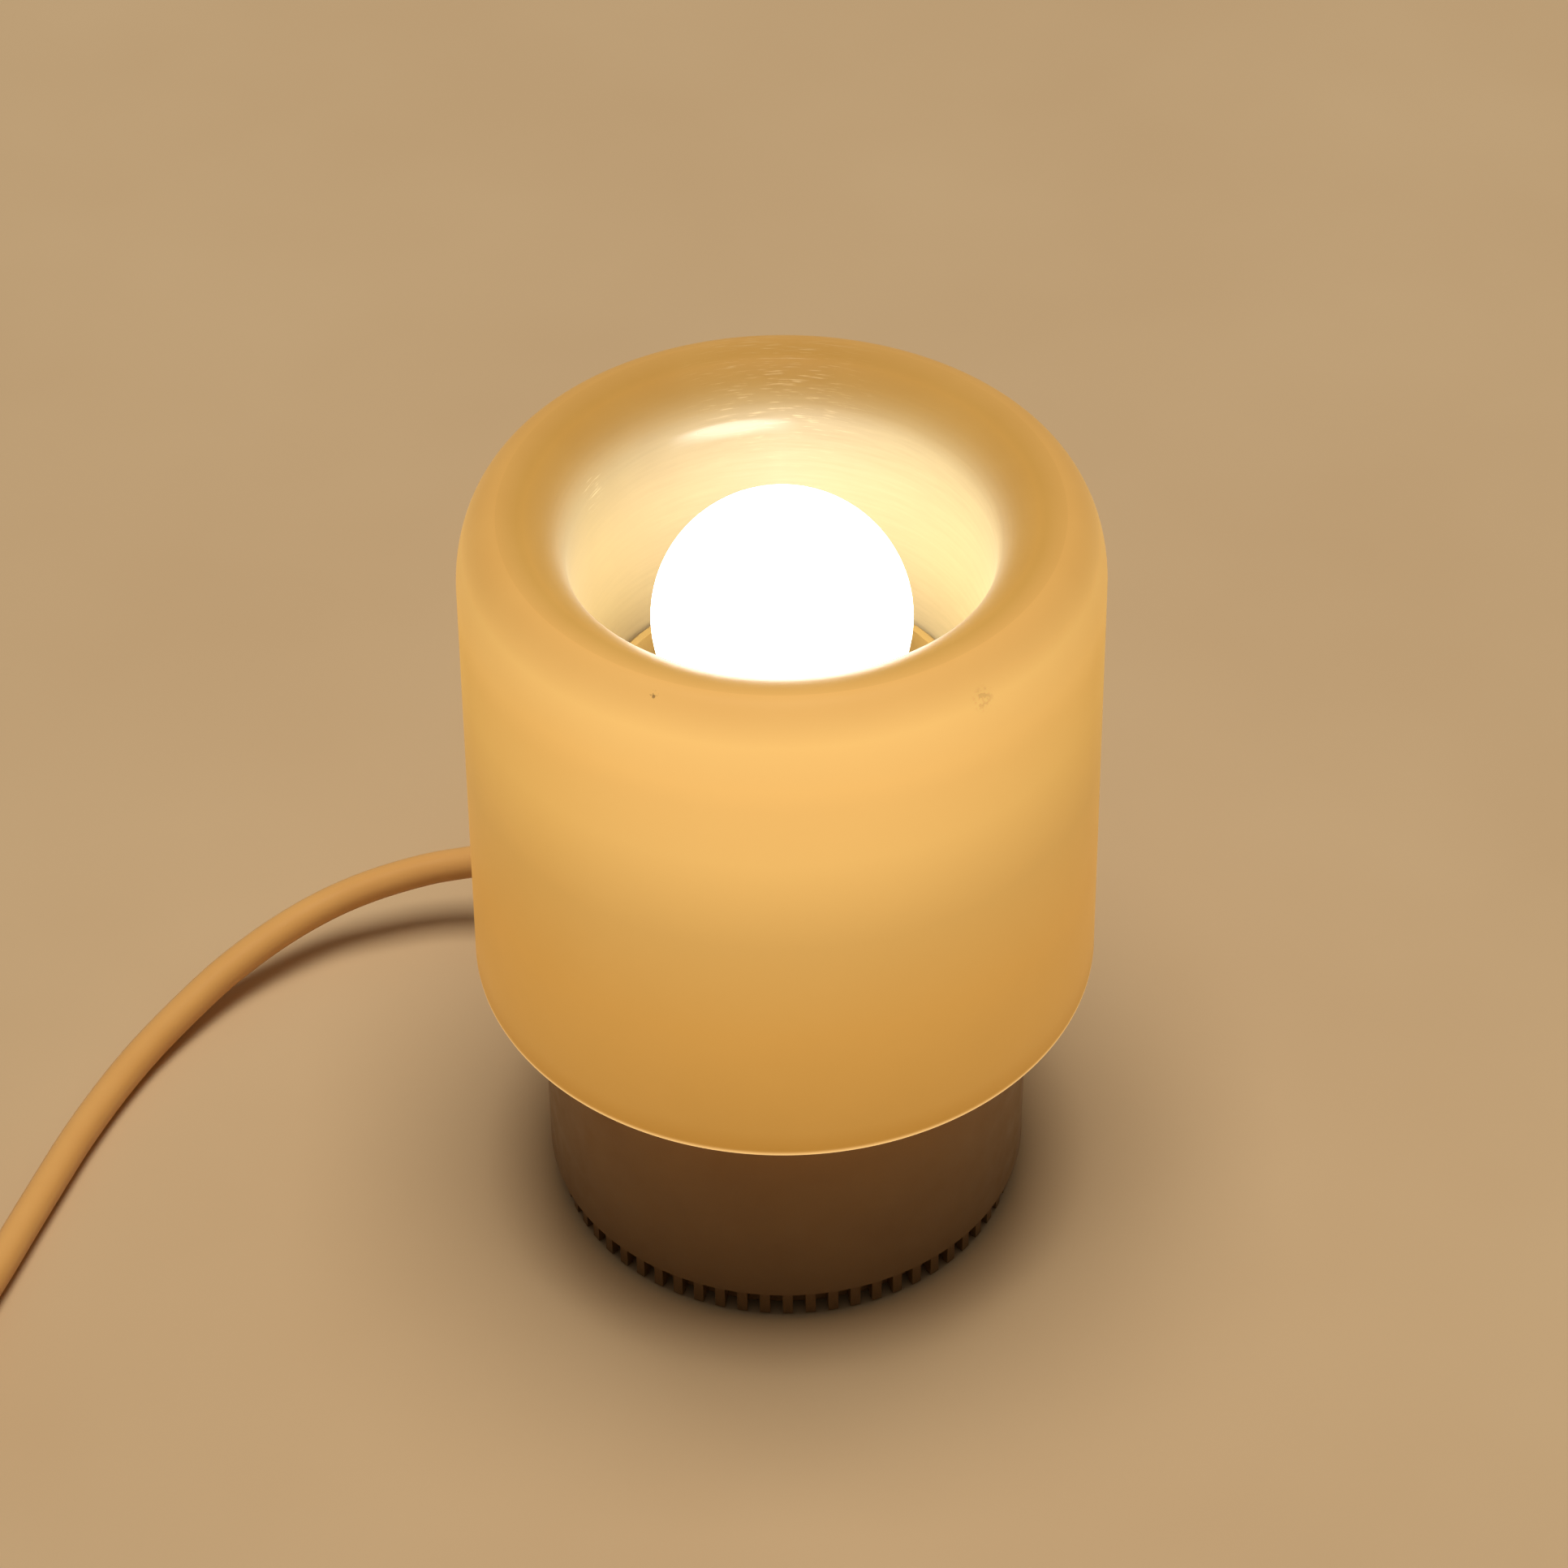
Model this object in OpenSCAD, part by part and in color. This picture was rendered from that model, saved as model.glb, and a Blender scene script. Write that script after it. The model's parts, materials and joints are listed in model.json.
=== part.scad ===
// Table lamp with a lift-off opal shade on a push-to-switch base, in millimetres, standing on z = 0.

/* [Shade] */
// Outside diameter of the shade at its lower edge
shade_d = 120; // [114:0.5:132]
// Height of the shade from its lower edge to its crest
shade_h = 105; // [100:0.5:115]
// Wall of the shade
shade_wall = 2.6; // [2:0.1:3.2]
// How much the skirt's radius shrinks from the lower edge to the shoulder
shade_draft = 1.1; // [0.6:0.1:2]
// Width of the rounded shoulder outside the crest
shoulder_w = 7.7; // [6:0.1:9]
// Height of the rounded shoulder
shoulder_h = 15; // [12:0.1:18]
// Width of the roll from the crest in to the throat
roll_w = 12.4; // [11:0.1:13.5]
// Height of the roll from the throat up to the crest
roll_h = 11.1; // [9:0.1:14]
// How much the inner tube's radius shrinks from the throat down to its end
tube_taper = 3.3; // [2.4:0.1:4]
// Height of the inner tube's end above the shade's lower edge
tube_end_h = 52.5; // [48:0.5:58]

/* [Base] */
// Outside diameter of the base housing
base_d = 95; // [92:0.5:100]
// Wall of the base housing
base_wall = 2.5; // [2:0.1:3]
// Height of the housing that shows below the shade
base_show = 52.5; // [46:0.5:60]
// Height of the housing's lower edge above the table
base_gap = 7; // [6:0.1:8]
// Thickness of the housing's deck
deck_t = 2.5; // [2:0.1:3.5]
// Height of the deck's top above the shade's lower edge
deck_above = 8.5; // [6:0.5:12]
// Wall that is left around the foot at the housing's lower edge
lip_wall = 1.4; // [1.2:0.1:1.7]
// Rounding of the housing's edges
edge_round = 0.6; // [0.4:0.1:0.9]
// Wall of the turret that carries the shade
turret_wall = 2.5; // [2:0.1:3]
// Height of the spigot that centres the shade's inner tube
spigot_h = 6; // [4:0.5:9]
// Radius of the hole in the turret's floor, around the bulb
turret_hole_r = 18; // [16:0.5:22]
// Thickness of the chassis plate
chassis_t = 2.5; // [2:0.1:3]
// Height of the chassis plate above the housing's lower edge
chassis_up = 8; // [7.5:0.1:9]

/* [Foot] */
// Number of teeth around the foot
foot_teeth = 64; // [48:1:80]
// Width of the groove between two teeth
groove_w = 2.5; // [2:0.1:2.8]
// Depth of a groove
groove_depth = 2.5; // [1.5:0.1:3]
// Wall of the foot behind the grooves
foot_back = 1.7; // [1.4:0.1:2.2]
// Thickness of the ribs where they stand below the disc
rib_t = 1.4; // [1:0.1:1.4]
// Height of the ribs' ends above the table
rib_gap = 0.4; // [0.3:0.1:0.8]
// Thickness of the foot's disc
disc_t = 2.5; // [2:0.1:3]
// Thickness of the non-slip ring
pad_t = 1.8; // [1.4:0.1:2.4]
// Depth that the non-slip ring is let into the foot
pad_sink = 0.6; // [0.4:0.1:0.9]
// Radial width of the non-slip ring
pad_w = 6; // [4:0.5:8]
// Travel of the base when it is pressed down on its foot
travel = 3; // [2:0.1:3.2]
// Radius of the three guide posts
post_r = 3; // [2.6:0.1:3.4]
// Radius of the spring wire
spring_wire_r = 0.5; // [0.4:0.05:0.6]
// Number of turns of a foot spring
spring_turns = 4; // [3:0.5:5]

/* [Switch] */
// Length, width and height of the switch body
switch_l = 20; // [18:0.5:24]
switch_w = 14; // [12:0.5:16]
switch_h = 17; // [16:0.5:20]
// Radius of the switch plunger
plunger_r = 3; // [2.5:0.1:3.5]
// Length of the switch plunger
plunger_l = 18; // [16:0.5:18.5]
// Height of the striker on the foot's disc
striker_h = 5; // [4:0.1:6]

/* [Lampholder and bulb] */
// Radius of the lampholder body
holder_r = 14; // [13:0.5:16]
// Height of the lampholder body
holder_h = 36; // [34:0.5:38]
// Thickness of the lampholder's floor
holder_floor = 6; // [5:0.5:8]
// Height of the lampholder's contact above its floor
contact_h = 7.7; // [7:0.1:9]
// Outside radius of the threaded nipple
nipple_r = 5; // [4.5:0.1:5.5]
// Wall of the threaded nipple
nipple_wall = 1; // [0.8:0.1:1.2]
// Diameter of the bulb's globe
bulb_d = 48; // [45:0.5:50]
// Length of the bulb from its contact to its top
bulb_l = 81.6; // [78:0.2:82]
// Radius of the bulb's screw cap
cap_r = 6.9; // [6.7:0.1:7.1]
// Length of the bulb's screw cap
cap_l = 20.6; // [18:0.2:22]

/* [Cord] */
// Diameter of the cord
cord_d = 6.8; // [6:0.1:7]
// Height of the cord's outlet above the table
cord_z = 22; // [21.5:0.5:26]
// Direction of the cord's outlet, in degrees from the right-hand side
cord_az = 125; // [120:1:130]
// Length of the strain relief outside the housing
relief_l = 20; // [20:0.5:24]
// Whole turns in the coil that is put away
coil_whole_turns = 6; // [5:1:7]
// Radius of the coil's tightest turn
coil_r_min = 27.3; // [27.2:0.1:30]
// Free space between two turns of the coil
coil_gap = 0.5; // [0.45:0.05:1]
// Diameter of a plug pin
pin_d = 4; // [4:0.1:4.8]
// Distance between the plug's pins
pin_spacing = 19; // [18.5:0.1:19.5]
// Free length of a plug pin
pin_l = 19; // [18:0.5:20]
// Width, length and height of the plug body
plug_w = 26; // [25:0.5:30]
plug_l = 32; // [30:0.5:36]
plug_h = 13.7; // [13:0.1:15]

/* [Clearances] */
// Gap between a loose piece and its neighbour
loose = 0.3; // [0.25:0.05:0.4]
// Gap around a sliding post or plunger
slide_gap = 0.1; // [0.06:0.01:0.1]
// Gap around a screw or thread in its hole
thread_gap = 0.05; // [0.03:0.01:0.08]
// Gap between the foot and the housing around it
foot_gap = 0.4; // [0.3:0.05:0.5]
// Screw sizes: shank, head and head height
screw_r = 1.5; // [1.4:0.05:1.6]
screw_head_r = 2.8; // [2.6:0.1:3]
screw_head_h = 2; // [1.8:0.1:2.2]

/* [Hidden] */
$fn = 96;
over = 1;

// Levels, from the table up
base_z = base_gap;
shade_z = base_z + base_show;
deck_top = shade_z + deck_above;
deck_z = deck_top - deck_t;
crest_z = shade_z + shade_h;
seat_z = shade_z + tube_end_h;
throat_z = crest_z - roll_h;
shoulder_z = crest_z - shoulder_h;
chassis_z = base_z + chassis_up;
chassis_top = chassis_z + chassis_t;
disc_z = pad_t - pad_sink;
disc_top = disc_z + disc_t;
press_room = 1;
foot_top = chassis_z - travel - press_room;

// Radii of the shade
shade_r = shade_d / 2;
crest_r = shade_r - shade_draft - shoulder_w;
throat_r = crest_r - roll_w;
tube_end_r = throat_r - tube_taper;
spigot_r = tube_end_r - loose;
turret_r = tube_end_r + shade_wall + loose;
turret_in_r = turret_r - turret_wall;
turret_floor_t = 3;

// Radii of the base and of what is fixed in it
base_r = base_d / 2;
base_in_r = base_r - base_wall;
foot_r = base_r - lip_wall - foot_gap;
foot_in_r = foot_r - groove_depth - foot_back;
rebate_top = chassis_z - loose;
boss_r = 4;
boss_inset = 3.5;
boss_ring = base_in_r - boss_r - boss_inset;
post_inset = 7;
post_ring = boss_ring - post_inset;
turret_boss_inset = 3;
turret_boss_ring = turret_in_r - turret_boss_inset;
turret_boss_h = 12;
pad_inset = 3.5;
pad_r = foot_r - pad_inset;
step_az = 30;

// Fixings
screw_room = 0.2;
screw_hole_r = screw_r + screw_room;
thread_r = screw_r + thread_gap;
chassis_screw_l = 10;
turret_screw_l = 10;
stop_screw_l = 8;
screw_short = 0.5;
stop_head_lap = 1.6;
stop_head_r = post_r + stop_head_lap;
spring_room = 0.9;
spring_r = post_r + spring_wire_r + spring_room;

// Switch
striker_top = disc_top + striker_h;
plunger_z = striker_top + slide_gap;
plunger_bore_top = plunger_z + plunger_l + travel + press_room;
switch_top = chassis_top + switch_h;
ear_l = 7;
ear_t = 2.5;
ear_hole = switch_w / 2 + ear_l / 2;
blade_t = 0.8;
blade_w = 5;
blade_l = 6;
blade_end = switch_l / 2 + blade_l;
blade_up = 9;
blade_z = chassis_top + blade_up;
blade_y = -3;

// Lampholder and bulb
holder_z = deck_top;
floor_top = holder_z + holder_floor;
nipple_below = 6;
nipple_in_r = nipple_r - nipple_wall;
nut_h = 3.5;
nut_wall = 3;
nut_r = nipple_r + nut_wall;
shell_in_r = cap_r + loose;
shell_wall = 0.5;
shell_r = shell_in_r + shell_wall;
shell_step = 2;
shell_z = floor_top + shell_step;
step_lap = 0.2;
step_r = shell_in_r - step_lap;
shell_l = 26;
contact_r = 2.2;
strip_w = 2.4;
strip_t = 0.8;
tip_z = floor_top + contact_h + loose;
bulb_r = bulb_d / 2;
globe_z = tip_z + bulb_l - bulb_r;
globe_wall = 1.2;
globe_cut = 16;
globe_edge_r = sqrt(bulb_r * bulb_r - globe_cut * globe_cut);
collar_top = globe_z - globe_cut;
tip_h = 1.4;
tip_step = 0.6;
insulator_h = 3;
cap_z = tip_z + tip_h + insulator_h;
cap_top = cap_z + cap_l;
cap_wall = 0.5;
collar_r = 9;
collar_wall = 1.8;
collar_neck_h = 4;

// Cord: outlet, route on the table, coil and plug
cord_r = cord_d / 2;
out = [cos(cord_az), sin(cord_az), 0];
across = [-sin(cord_az), cos(cord_az), 0];
relief_neck_wall = 1.6;
relief_neck_r = cord_r + relief_neck_wall;
relief_flange_w = 2;
relief_flange_r = relief_neck_r + relief_flange_w;
relief_flange_t = 2;
flange_seat = sqrt(base_in_r * base_in_r - relief_flange_r * relief_flange_r) - slide_gap;
relief_start = flange_seat - relief_flange_t;
relief_end = base_r + relief_l;
relief_tip_wall = 0.8;
relief_tip_r = cord_r + relief_tip_wall;
grip_inset = 13;
grip_at = base_in_r - grip_inset;
bare_l = 7;
inner_end = blade_end + bare_l;
grip_t = 5;
grip_half = 9.5;
grip_foot = 5;
grip_foot_t = 3;
grip_top_t = 2.5;
tie_t = 0.8;
tie_w = 6;
tie_room = 0.1;
coil_centre = [-214, -51];
coil_start = -18;
coil_end = 180;
coil_turns = coil_whole_turns + (360 + coil_start - coil_end) / 360;
coil_pitch = cord_d + coil_gap;
coil_low = tie_t + cord_r + tie_room;
coil_high = coil_low + coil_pitch;
coil_steps = 24;
coil_sides = 6;
tie_az = 90;
tail_l = 34;
straight_l = 4;
wire_r = 1;
wire_sides = 8;
cord_sides = 10;

function unit(v) = v / norm(v);
function at_out(r, side, z) = r * out + side * across + [0, 0, z];

// Smooth curve through a list of points: two steps to a stretch
function knot(p, i) = p[min(max(i, 0), len(p) - 1)];
function between(p, i, t) = 0.5 * (2 * knot(p, i) + (knot(p, i + 1) - knot(p, i - 1)) * t
    + (2 * knot(p, i - 1) - 5 * knot(p, i) + 4 * knot(p, i + 1) - knot(p, i + 2)) * t * t
    + (3 * knot(p, i) - knot(p, i - 1) - 3 * knot(p, i + 1) + knot(p, i + 2)) * t * t * t);
function smooth(p, steps = 2) = [for (i = [0 : len(p) - 2]) for (s = [0 : steps - 1])
    between(p, i, s / steps), p[len(p) - 1]];

// Directions along a line of points, and a side direction carried along it without twist
function headings(p) = [for (i = [0 : len(p) - 1]) unit(knot(p, i + 1) - knot(p, i - 1))];
function squared(n, t) = unit(n - (n * t) * t);
function sides(t, first) = [for (i = 0, n = squared(first, t[0]); i < len(t);
    i = i + 1, n = i < len(t) ? squared(n, t[i]) : n) n];

// Round tube along a line of points, closed at both ends
module tube(p, r, k, first = [1, 0, 0.01]) {
    t = headings(p);
    n = sides(t, first);
    rings = [for (i = [0 : len(p) - 1]) for (j = [0 : k - 1])
        p[i] + r * (cos(360 * j / k) * n[i] + sin(360 * j / k) * cross(t[i], n[i]))];
    last = (len(p) - 1) * k;
    walls = [for (i = [0 : len(p) - 2]) for (j = [0 : k - 1]) let (a = i * k + j, b = i * k + (j + 1) % k)
        each [[a, a + k, b], [b, a + k, b + k]]];
    caps = [for (j = [1 : k - 2]) each [[0, j, j + 1], [last, last + j + 1, last + j]]];
    polyhedron(rings, concat(walls, caps), convexity = 10);
}

// Piled coil: spirals in on the table, climbs a layer where it turns, and spirals out again above
function coil_r(t) = coil_r_min + coil_pitch * abs(t - coil_turns / 2);
function climb(t) = min(max((t - coil_turns / 2) * 2 + 0.5, 0), 1);
function coil_z(t) = coil_low + (coil_high - coil_low) * (1 - cos(180 * climb(t))) / 2;
function coil_az(t) = coil_start - 360 * t;
function coil_at(t) = [coil_centre[0] + coil_r(t) * cos(coil_az(t)),
    coil_centre[1] + coil_r(t) * sin(coil_az(t)), coil_z(t)];
function along(az) = [sin(az), -cos(az), 0];
coil_count = ceil(coil_turns * coil_steps);
coil_loops = [for (i = [0 : coil_count]) coil_at(coil_turns * i / coil_count)];
coil_in = coil_at(0) - cord_d * along(coil_start);
coil_out = coil_at(coil_turns) + cord_d * along(coil_end);
coil_path = concat([coil_in], coil_loops, [coil_out]);
far = floor(coil_steps / 2);
coil_least = min([for (i = [0 : coil_count - far]) for (j = [i + far : coil_count])
    norm(coil_loops[i] - coil_loops[j])]) - cord_d;
echo(str("least gap of the coil to itself: ", coil_least, " mm"));

// Free stretch of the cord, from the strain relief to the coil
cord_points = [[-44, 61, 21], [-51, 65.5, 19.5], [-59, 67.5, 18], [-67.5, 67.5, 16.5], [-76, 66.5, 15.5],
    [-87, 63.5, 14], [-97, 59.5, 12], [-107, 53, 10], [-117, 44.5, 7.5], [-125.5, 34.5, 5.5],
    [-133, 23.5, 4.2], [-139, 12, 3.6], [-144, 0, 3.5], [-148, -11.5, 3.5], [-152, -23.5, 3.5],
    [-156, -36, 3.6], [-160, -48, 4]];
lead_start = at_out(relief_end, 0, cord_z);
lead_bend = concat([lead_start + straight_l * out], cord_points, [coil_in - straight_l * along(coil_start)]);
lead_path = concat([lead_start], smooth(lead_bend), [coil_in]);

// Short stretch from the coil down to the plug
plug_face = [coil_out[0], coil_out[1] + tail_l, plug_h / 2];
tail_bend = [for (s = [0 : 0.125 : 1]) [coil_out[0], coil_out[1] + straight_l + (tail_l - 2 * straight_l) * s,
    coil_out[2] + (plug_face[2] - coil_out[2]) * (1 - cos(180 * s)) / 2]];
tail_path = concat([coil_out], tail_bend, [plug_face]);

// Turns of the coil that cross under the tie
tie_first = (coil_start - tie_az + 360) / 360;
tie_radii = [for (i = [0 : coil_whole_turns]) if (tie_first + i <= coil_turns) coil_r(tie_first + i)];
tie_in = min(tie_radii) - cord_r - loose;
tie_out = max(tie_radii) + cord_r + loose;
tie_top = coil_high + cord_r + tie_room;

// Wires inside the housing
wire_side = 1.4;
wire_start = inner_end - loose;
live_end = blade_end + loose;
live_path = smooth([at_out(wire_start, wire_side, cord_z), at_out(wire_start - 3, wire_side, cord_z + 1),
    at_out(live_end + 2, 0.5, blade_z - 1), at_out(live_end, 0, blade_z)]);
neutral_at = nipple_in_r - wire_r - loose;
neutral_path = smooth([at_out(wire_start, -wire_side, cord_z),
    at_out(wire_start - 3, -wire_side - 1, cord_z + 2),
    at_out(inner_end - 6, -8, switch_top), at_out(10, -8, switch_top + 8), at_out(4, -3, deck_z - 16),
    [0, neutral_at, deck_z - 9], [0, neutral_at, floor_top - 5], [0, neutral_at, shell_z - slide_gap]]);
switched_at = -nipple_in_r + wire_r + loose;
switched_foot = at_out(0, blade_y, switch_top + blade_l + loose);
switched_path = smooth([switched_foot, switched_foot + [0, 0, 5], [switched_at, 0, deck_z - 9],
    [switched_at, 0, deck_z], [switched_at, 0, floor_top - slide_gap]]);

function arc_at(c, a, b, from, to, steps) = [for (i = [0 : steps]) let (t = from + (to - from) * i / steps)
    [c[0] + a * cos(t), c[1] + b * sin(t)]];

module at_three(ring, az, z) {
    for (i = [0 : 2]) rotate([0, 0, az + 120 * i]) translate([ring, 0, z]) children();
}

module at_cord(r) {
    translate(at_out(r, 0, cord_z)) rotate([0, 0, cord_az]) rotate([0, 90, 0]) children();
}

// Screw with its head's seat at z = 0, its head above and its shank below
module screw(l, head_r = screw_head_r) {
    slot_w = 0.8;
    slot_depth = screw_head_h / 2;
    difference() {
        union() {
            cylinder(h = screw_head_h, r = head_r);
            translate([0, 0, -l]) cylinder(h = l + screw_head_h / 2, r = screw_r);
        }
        translate([-head_r - over, -slot_w / 2, screw_head_h - slot_depth])
            cube([2 * head_r + 2 * over, slot_w, slot_depth + over]);
    }
}

module shade() {
    half = shade_wall / 2;
    steps = 10;
    outside = concat(arc_at([shade_r - half, shade_z + half], half, half, -90, 0, 4),
        arc_at([crest_r, shoulder_z], shoulder_w, shoulder_h, 0, 90, steps),
        arc_at([crest_r, throat_z], roll_w, roll_h, 96, 180, steps));
    tube_end = [[tube_end_r, seat_z], [tube_end_r + shade_wall, seat_z]];
    inside = concat(arc_at([crest_r, throat_z], roll_w - shade_wall, roll_h - shade_wall, 180, 96, steps),
        arc_at([crest_r, shoulder_z], shoulder_w - shade_wall, shoulder_h - shade_wall, 90, 0, steps),
        arc_at([shade_r - half, shade_z + half], half, half, 180, 250, 4));
    color("#eec07a") rotate_extrude() polygon(concat(outside, tube_end, inside));
}

module housing() {
    wall = concat([[base_r - lip_wall, base_z], [base_r - edge_round, base_z], [base_r, base_z + edge_round]],
        arc_at([base_r - deck_t, deck_top - deck_t], deck_t, deck_t, 0, 90, 6),
        [[nipple_r + thread_gap, deck_top], [nipple_r + thread_gap, deck_z], [base_in_r, deck_z],
        [base_in_r, rebate_top], [base_r - lip_wall, rebate_top]]);
    color("#c8a878") difference() {
        union() {
            rotate_extrude() polygon(wall);
            at_three(boss_ring, cord_az + 3 * step_az, chassis_top)
                cylinder(h = deck_z - chassis_top + over, r = boss_r);
        }
        at_three(boss_ring, cord_az + 3 * step_az, chassis_top - over)
            cylinder(h = chassis_screw_l + over, r = thread_r);
        at_three(turret_boss_ring, cord_az + step_az, deck_z - over)
            cylinder(h = deck_t + 2 * over, r = screw_hole_r);
        at_cord(base_in_r - 2 * over) cylinder(h = base_wall + 4 * over, r = relief_neck_r + slide_gap);
    }
}

module turret() {
    floor_z = seat_z - turret_floor_t;
    spigot_wall = 2.4;
    spigot_top = seat_z + spigot_h;
    spigot_in_r = spigot_r - spigot_wall;
    column = [[turret_in_r, deck_top], [turret_r, deck_top], [turret_r, seat_z], [spigot_r, seat_z],
        [spigot_r, spigot_top - over], [spigot_r - over, spigot_top], [spigot_in_r, spigot_top],
        [spigot_in_r, seat_z], [turret_hole_r, seat_z], [turret_hole_r, floor_z], [turret_in_r, floor_z]];
    color("#c8a878") difference() {
        union() {
            rotate_extrude() polygon(column);
            intersection() {
                at_three(turret_boss_ring, cord_az + step_az, deck_top)
                    cylinder(h = turret_boss_h, r = boss_r);
                translate([0, 0, deck_top]) cylinder(h = turret_boss_h, r = turret_r - turret_wall / 2);
            }
        }
        at_three(turret_boss_ring, cord_az + step_az, deck_top - over)
            cylinder(h = turret_screw_l + over, r = thread_r);
    }
}

module turret_screws() {
    color("#b9bcc0") at_three(turret_boss_ring, cord_az + step_az, deck_z) mirror([0, 0, 1])
        screw(turret_screw_l + deck_t - over);
}

module chassis() {
    rest_top = cord_z - cord_r - slide_gap;
    color("#c9cbcc") difference() {
        union() {
            translate([0, 0, chassis_z]) cylinder(h = chassis_t, r = base_in_r - loose);
            translate(at_out(grip_at, 0, chassis_top)) rotate([0, 0, cord_az])
                translate([-grip_t / 2, -cord_r, -over])
                    cube([grip_t, cord_d, rest_top - chassis_top + over]);
        }
        translate([0, 0, chassis_z - over]) cylinder(h = chassis_t + 2 * over, r = plunger_r + 2 * loose);
        at_three(boss_ring, cord_az + 3 * step_az, chassis_z - over)
            cylinder(h = chassis_t + 2 * over, r = screw_hole_r);
        at_three(post_ring, cord_az + step_az, chassis_z - over)
            cylinder(h = chassis_t + 2 * over, r = post_r + slide_gap);
        at_pairs() translate([0, 0, -chassis_t - over]) cylinder(h = chassis_t + 2 * over, r = thread_r);
        at_cord(relief_start - loose) cylinder(h = base_wall + relief_l, r = relief_flange_r + loose);
    }
}

// The places of the screws that hold the switch and the cord grip on the chassis
module at_switch_screws() {
    for (s = [-1, 1]) translate(at_out(0, s * ear_hole, chassis_top)) children();
}

module at_grip_screws() {
    for (s = [-1, 1]) translate(at_out(grip_at, s * (grip_half - grip_foot / 2), chassis_top)) children();
}

module at_pairs() {
    at_switch_screws() children();
    at_grip_screws() children();
}

module chassis_screws() {
    color("#b9bcc0") at_three(boss_ring, cord_az + 3 * step_az, chassis_z) mirror([0, 0, 1])
        screw(chassis_screw_l + chassis_t - over);
}

module foot() {
    post_l = chassis_top + slide_gap - disc_top;
    striker_lap = 2;
    rib_in_r = foot_r - rib_t;
    tub = [[0, disc_z], [rib_in_r, disc_z], [rib_in_r, rib_gap], [foot_r, rib_gap], [foot_r, foot_top],
        [foot_in_r, foot_top], [foot_in_r, disc_top], [0, disc_top]];
    color("#c4a375") difference() {
        union() {
            rotate_extrude() polygon(tub);
            at_three(post_ring, cord_az + step_az, disc_top - over) cylinder(h = post_l + over, r = post_r);
            translate([0, 0, disc_top - over]) cylinder(h = striker_h + over, r = plunger_r + striker_lap);
        }
        translate([0, 0, rib_gap - over]) linear_extrude(foot_top + over) for (i = [0 : foot_teeth - 1])
            rotate(-90 + (i + 0.5) * 360 / foot_teeth) translate([foot_r - groove_depth, -groove_w / 2])
                square([groove_depth + over, groove_w]);
        translate([0, 0, disc_z - over]) difference() {
            cylinder(h = pad_sink + over, r = pad_r + slide_gap);
            translate([0, 0, -over]) cylinder(h = pad_sink + 3 * over, r = pad_r - pad_w - slide_gap);
        }
        at_three(post_ring, cord_az + step_az, disc_top + post_l - stop_screw_l)
            cylinder(h = stop_screw_l + over, r = thread_r);
    }
}

module foot_pad() {
    color("#4a4846") difference() {
        cylinder(h = pad_t, r = pad_r);
        translate([0, 0, -over]) cylinder(h = pad_t + 2 * over, r = pad_r - pad_w);
    }
}

module stop_screws() {
    color("#b9bcc0") at_three(post_ring, cord_az + step_az, chassis_top + slide_gap)
        screw(stop_screw_l - over, stop_head_r);
}

module foot_springs() {
    z0 = disc_top + spring_wire_r + slide_gap;
    z1 = chassis_z - spring_wire_r - slide_gap;
    count = spring_turns * 12;
    helix = [for (i = [0 : count]) let (a = 360 * spring_turns * i / count)
        [spring_r * cos(a), spring_r * sin(a), z0 + (z1 - z0) * i / count]];
    color("#9aa0a6") at_three(post_ring, cord_az + step_az, 0) tube(helix, spring_wire_r, 6);
}

module switch_body() {
    color("#26272a") translate([0, 0, chassis_top]) rotate([0, 0, cord_az]) difference() {
        union() {
            translate([-switch_l / 2, -switch_w / 2, 0]) cube([switch_l, switch_w, switch_h]);
            translate([-screw_head_r - over, -switch_w / 2 - ear_l, 0])
                cube([2 * screw_head_r + 2 * over, switch_w + 2 * ear_l, ear_t]);
        }
        translate([0, 0, -over])
            cylinder(h = plunger_bore_top - chassis_top + over, r = plunger_r + slide_gap);
        for (s = [-1, 1]) translate([0, s * ear_hole, -over])
            cylinder(h = ear_t + 2 * over, r = screw_hole_r);
    }
}

module switch_plunger() {
    tip = 0.8;
    color("#d8d4c8") translate([0, 0, plunger_z]) rotate_extrude()
        polygon([[0, 0], [plunger_r - tip, 0], [plunger_r, tip], [plunger_r, plunger_l], [0, plunger_l]]);
}

module switch_terminals() {
    color("#c8a24a") rotate([0, 0, cord_az]) {
        translate([switch_l / 2, -blade_w / 2, blade_z - blade_t / 2]) cube([blade_l, blade_w, blade_t]);
        translate([-blade_w / 2, blade_y - blade_t / 2, switch_top]) cube([blade_w, blade_t, blade_l]);
    }
}

module switch_screws() {
    color("#b9bcc0") at_switch_screws() translate([0, 0, ear_t]) screw(ear_t + chassis_t - screw_short);
}

module holder_body() {
    band = 1;
    band_z = 14;
    shell_floor = holder_floor + shell_step;
    bore_r = shell_r + loose;
    hole_r = nipple_r + thread_gap;
    color("#f3f1ea") translate([0, 0, holder_z]) rotate_extrude() polygon([[hole_r, 0], [holder_r, 0],
        [holder_r, band_z], [holder_r + band, band_z + band], [holder_r + band, holder_h - band],
        [holder_r, holder_h], [bore_r, holder_h], [bore_r, shell_floor], [step_r, shell_floor],
        [step_r, holder_floor], [hole_r, holder_floor]]);
}

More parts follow.
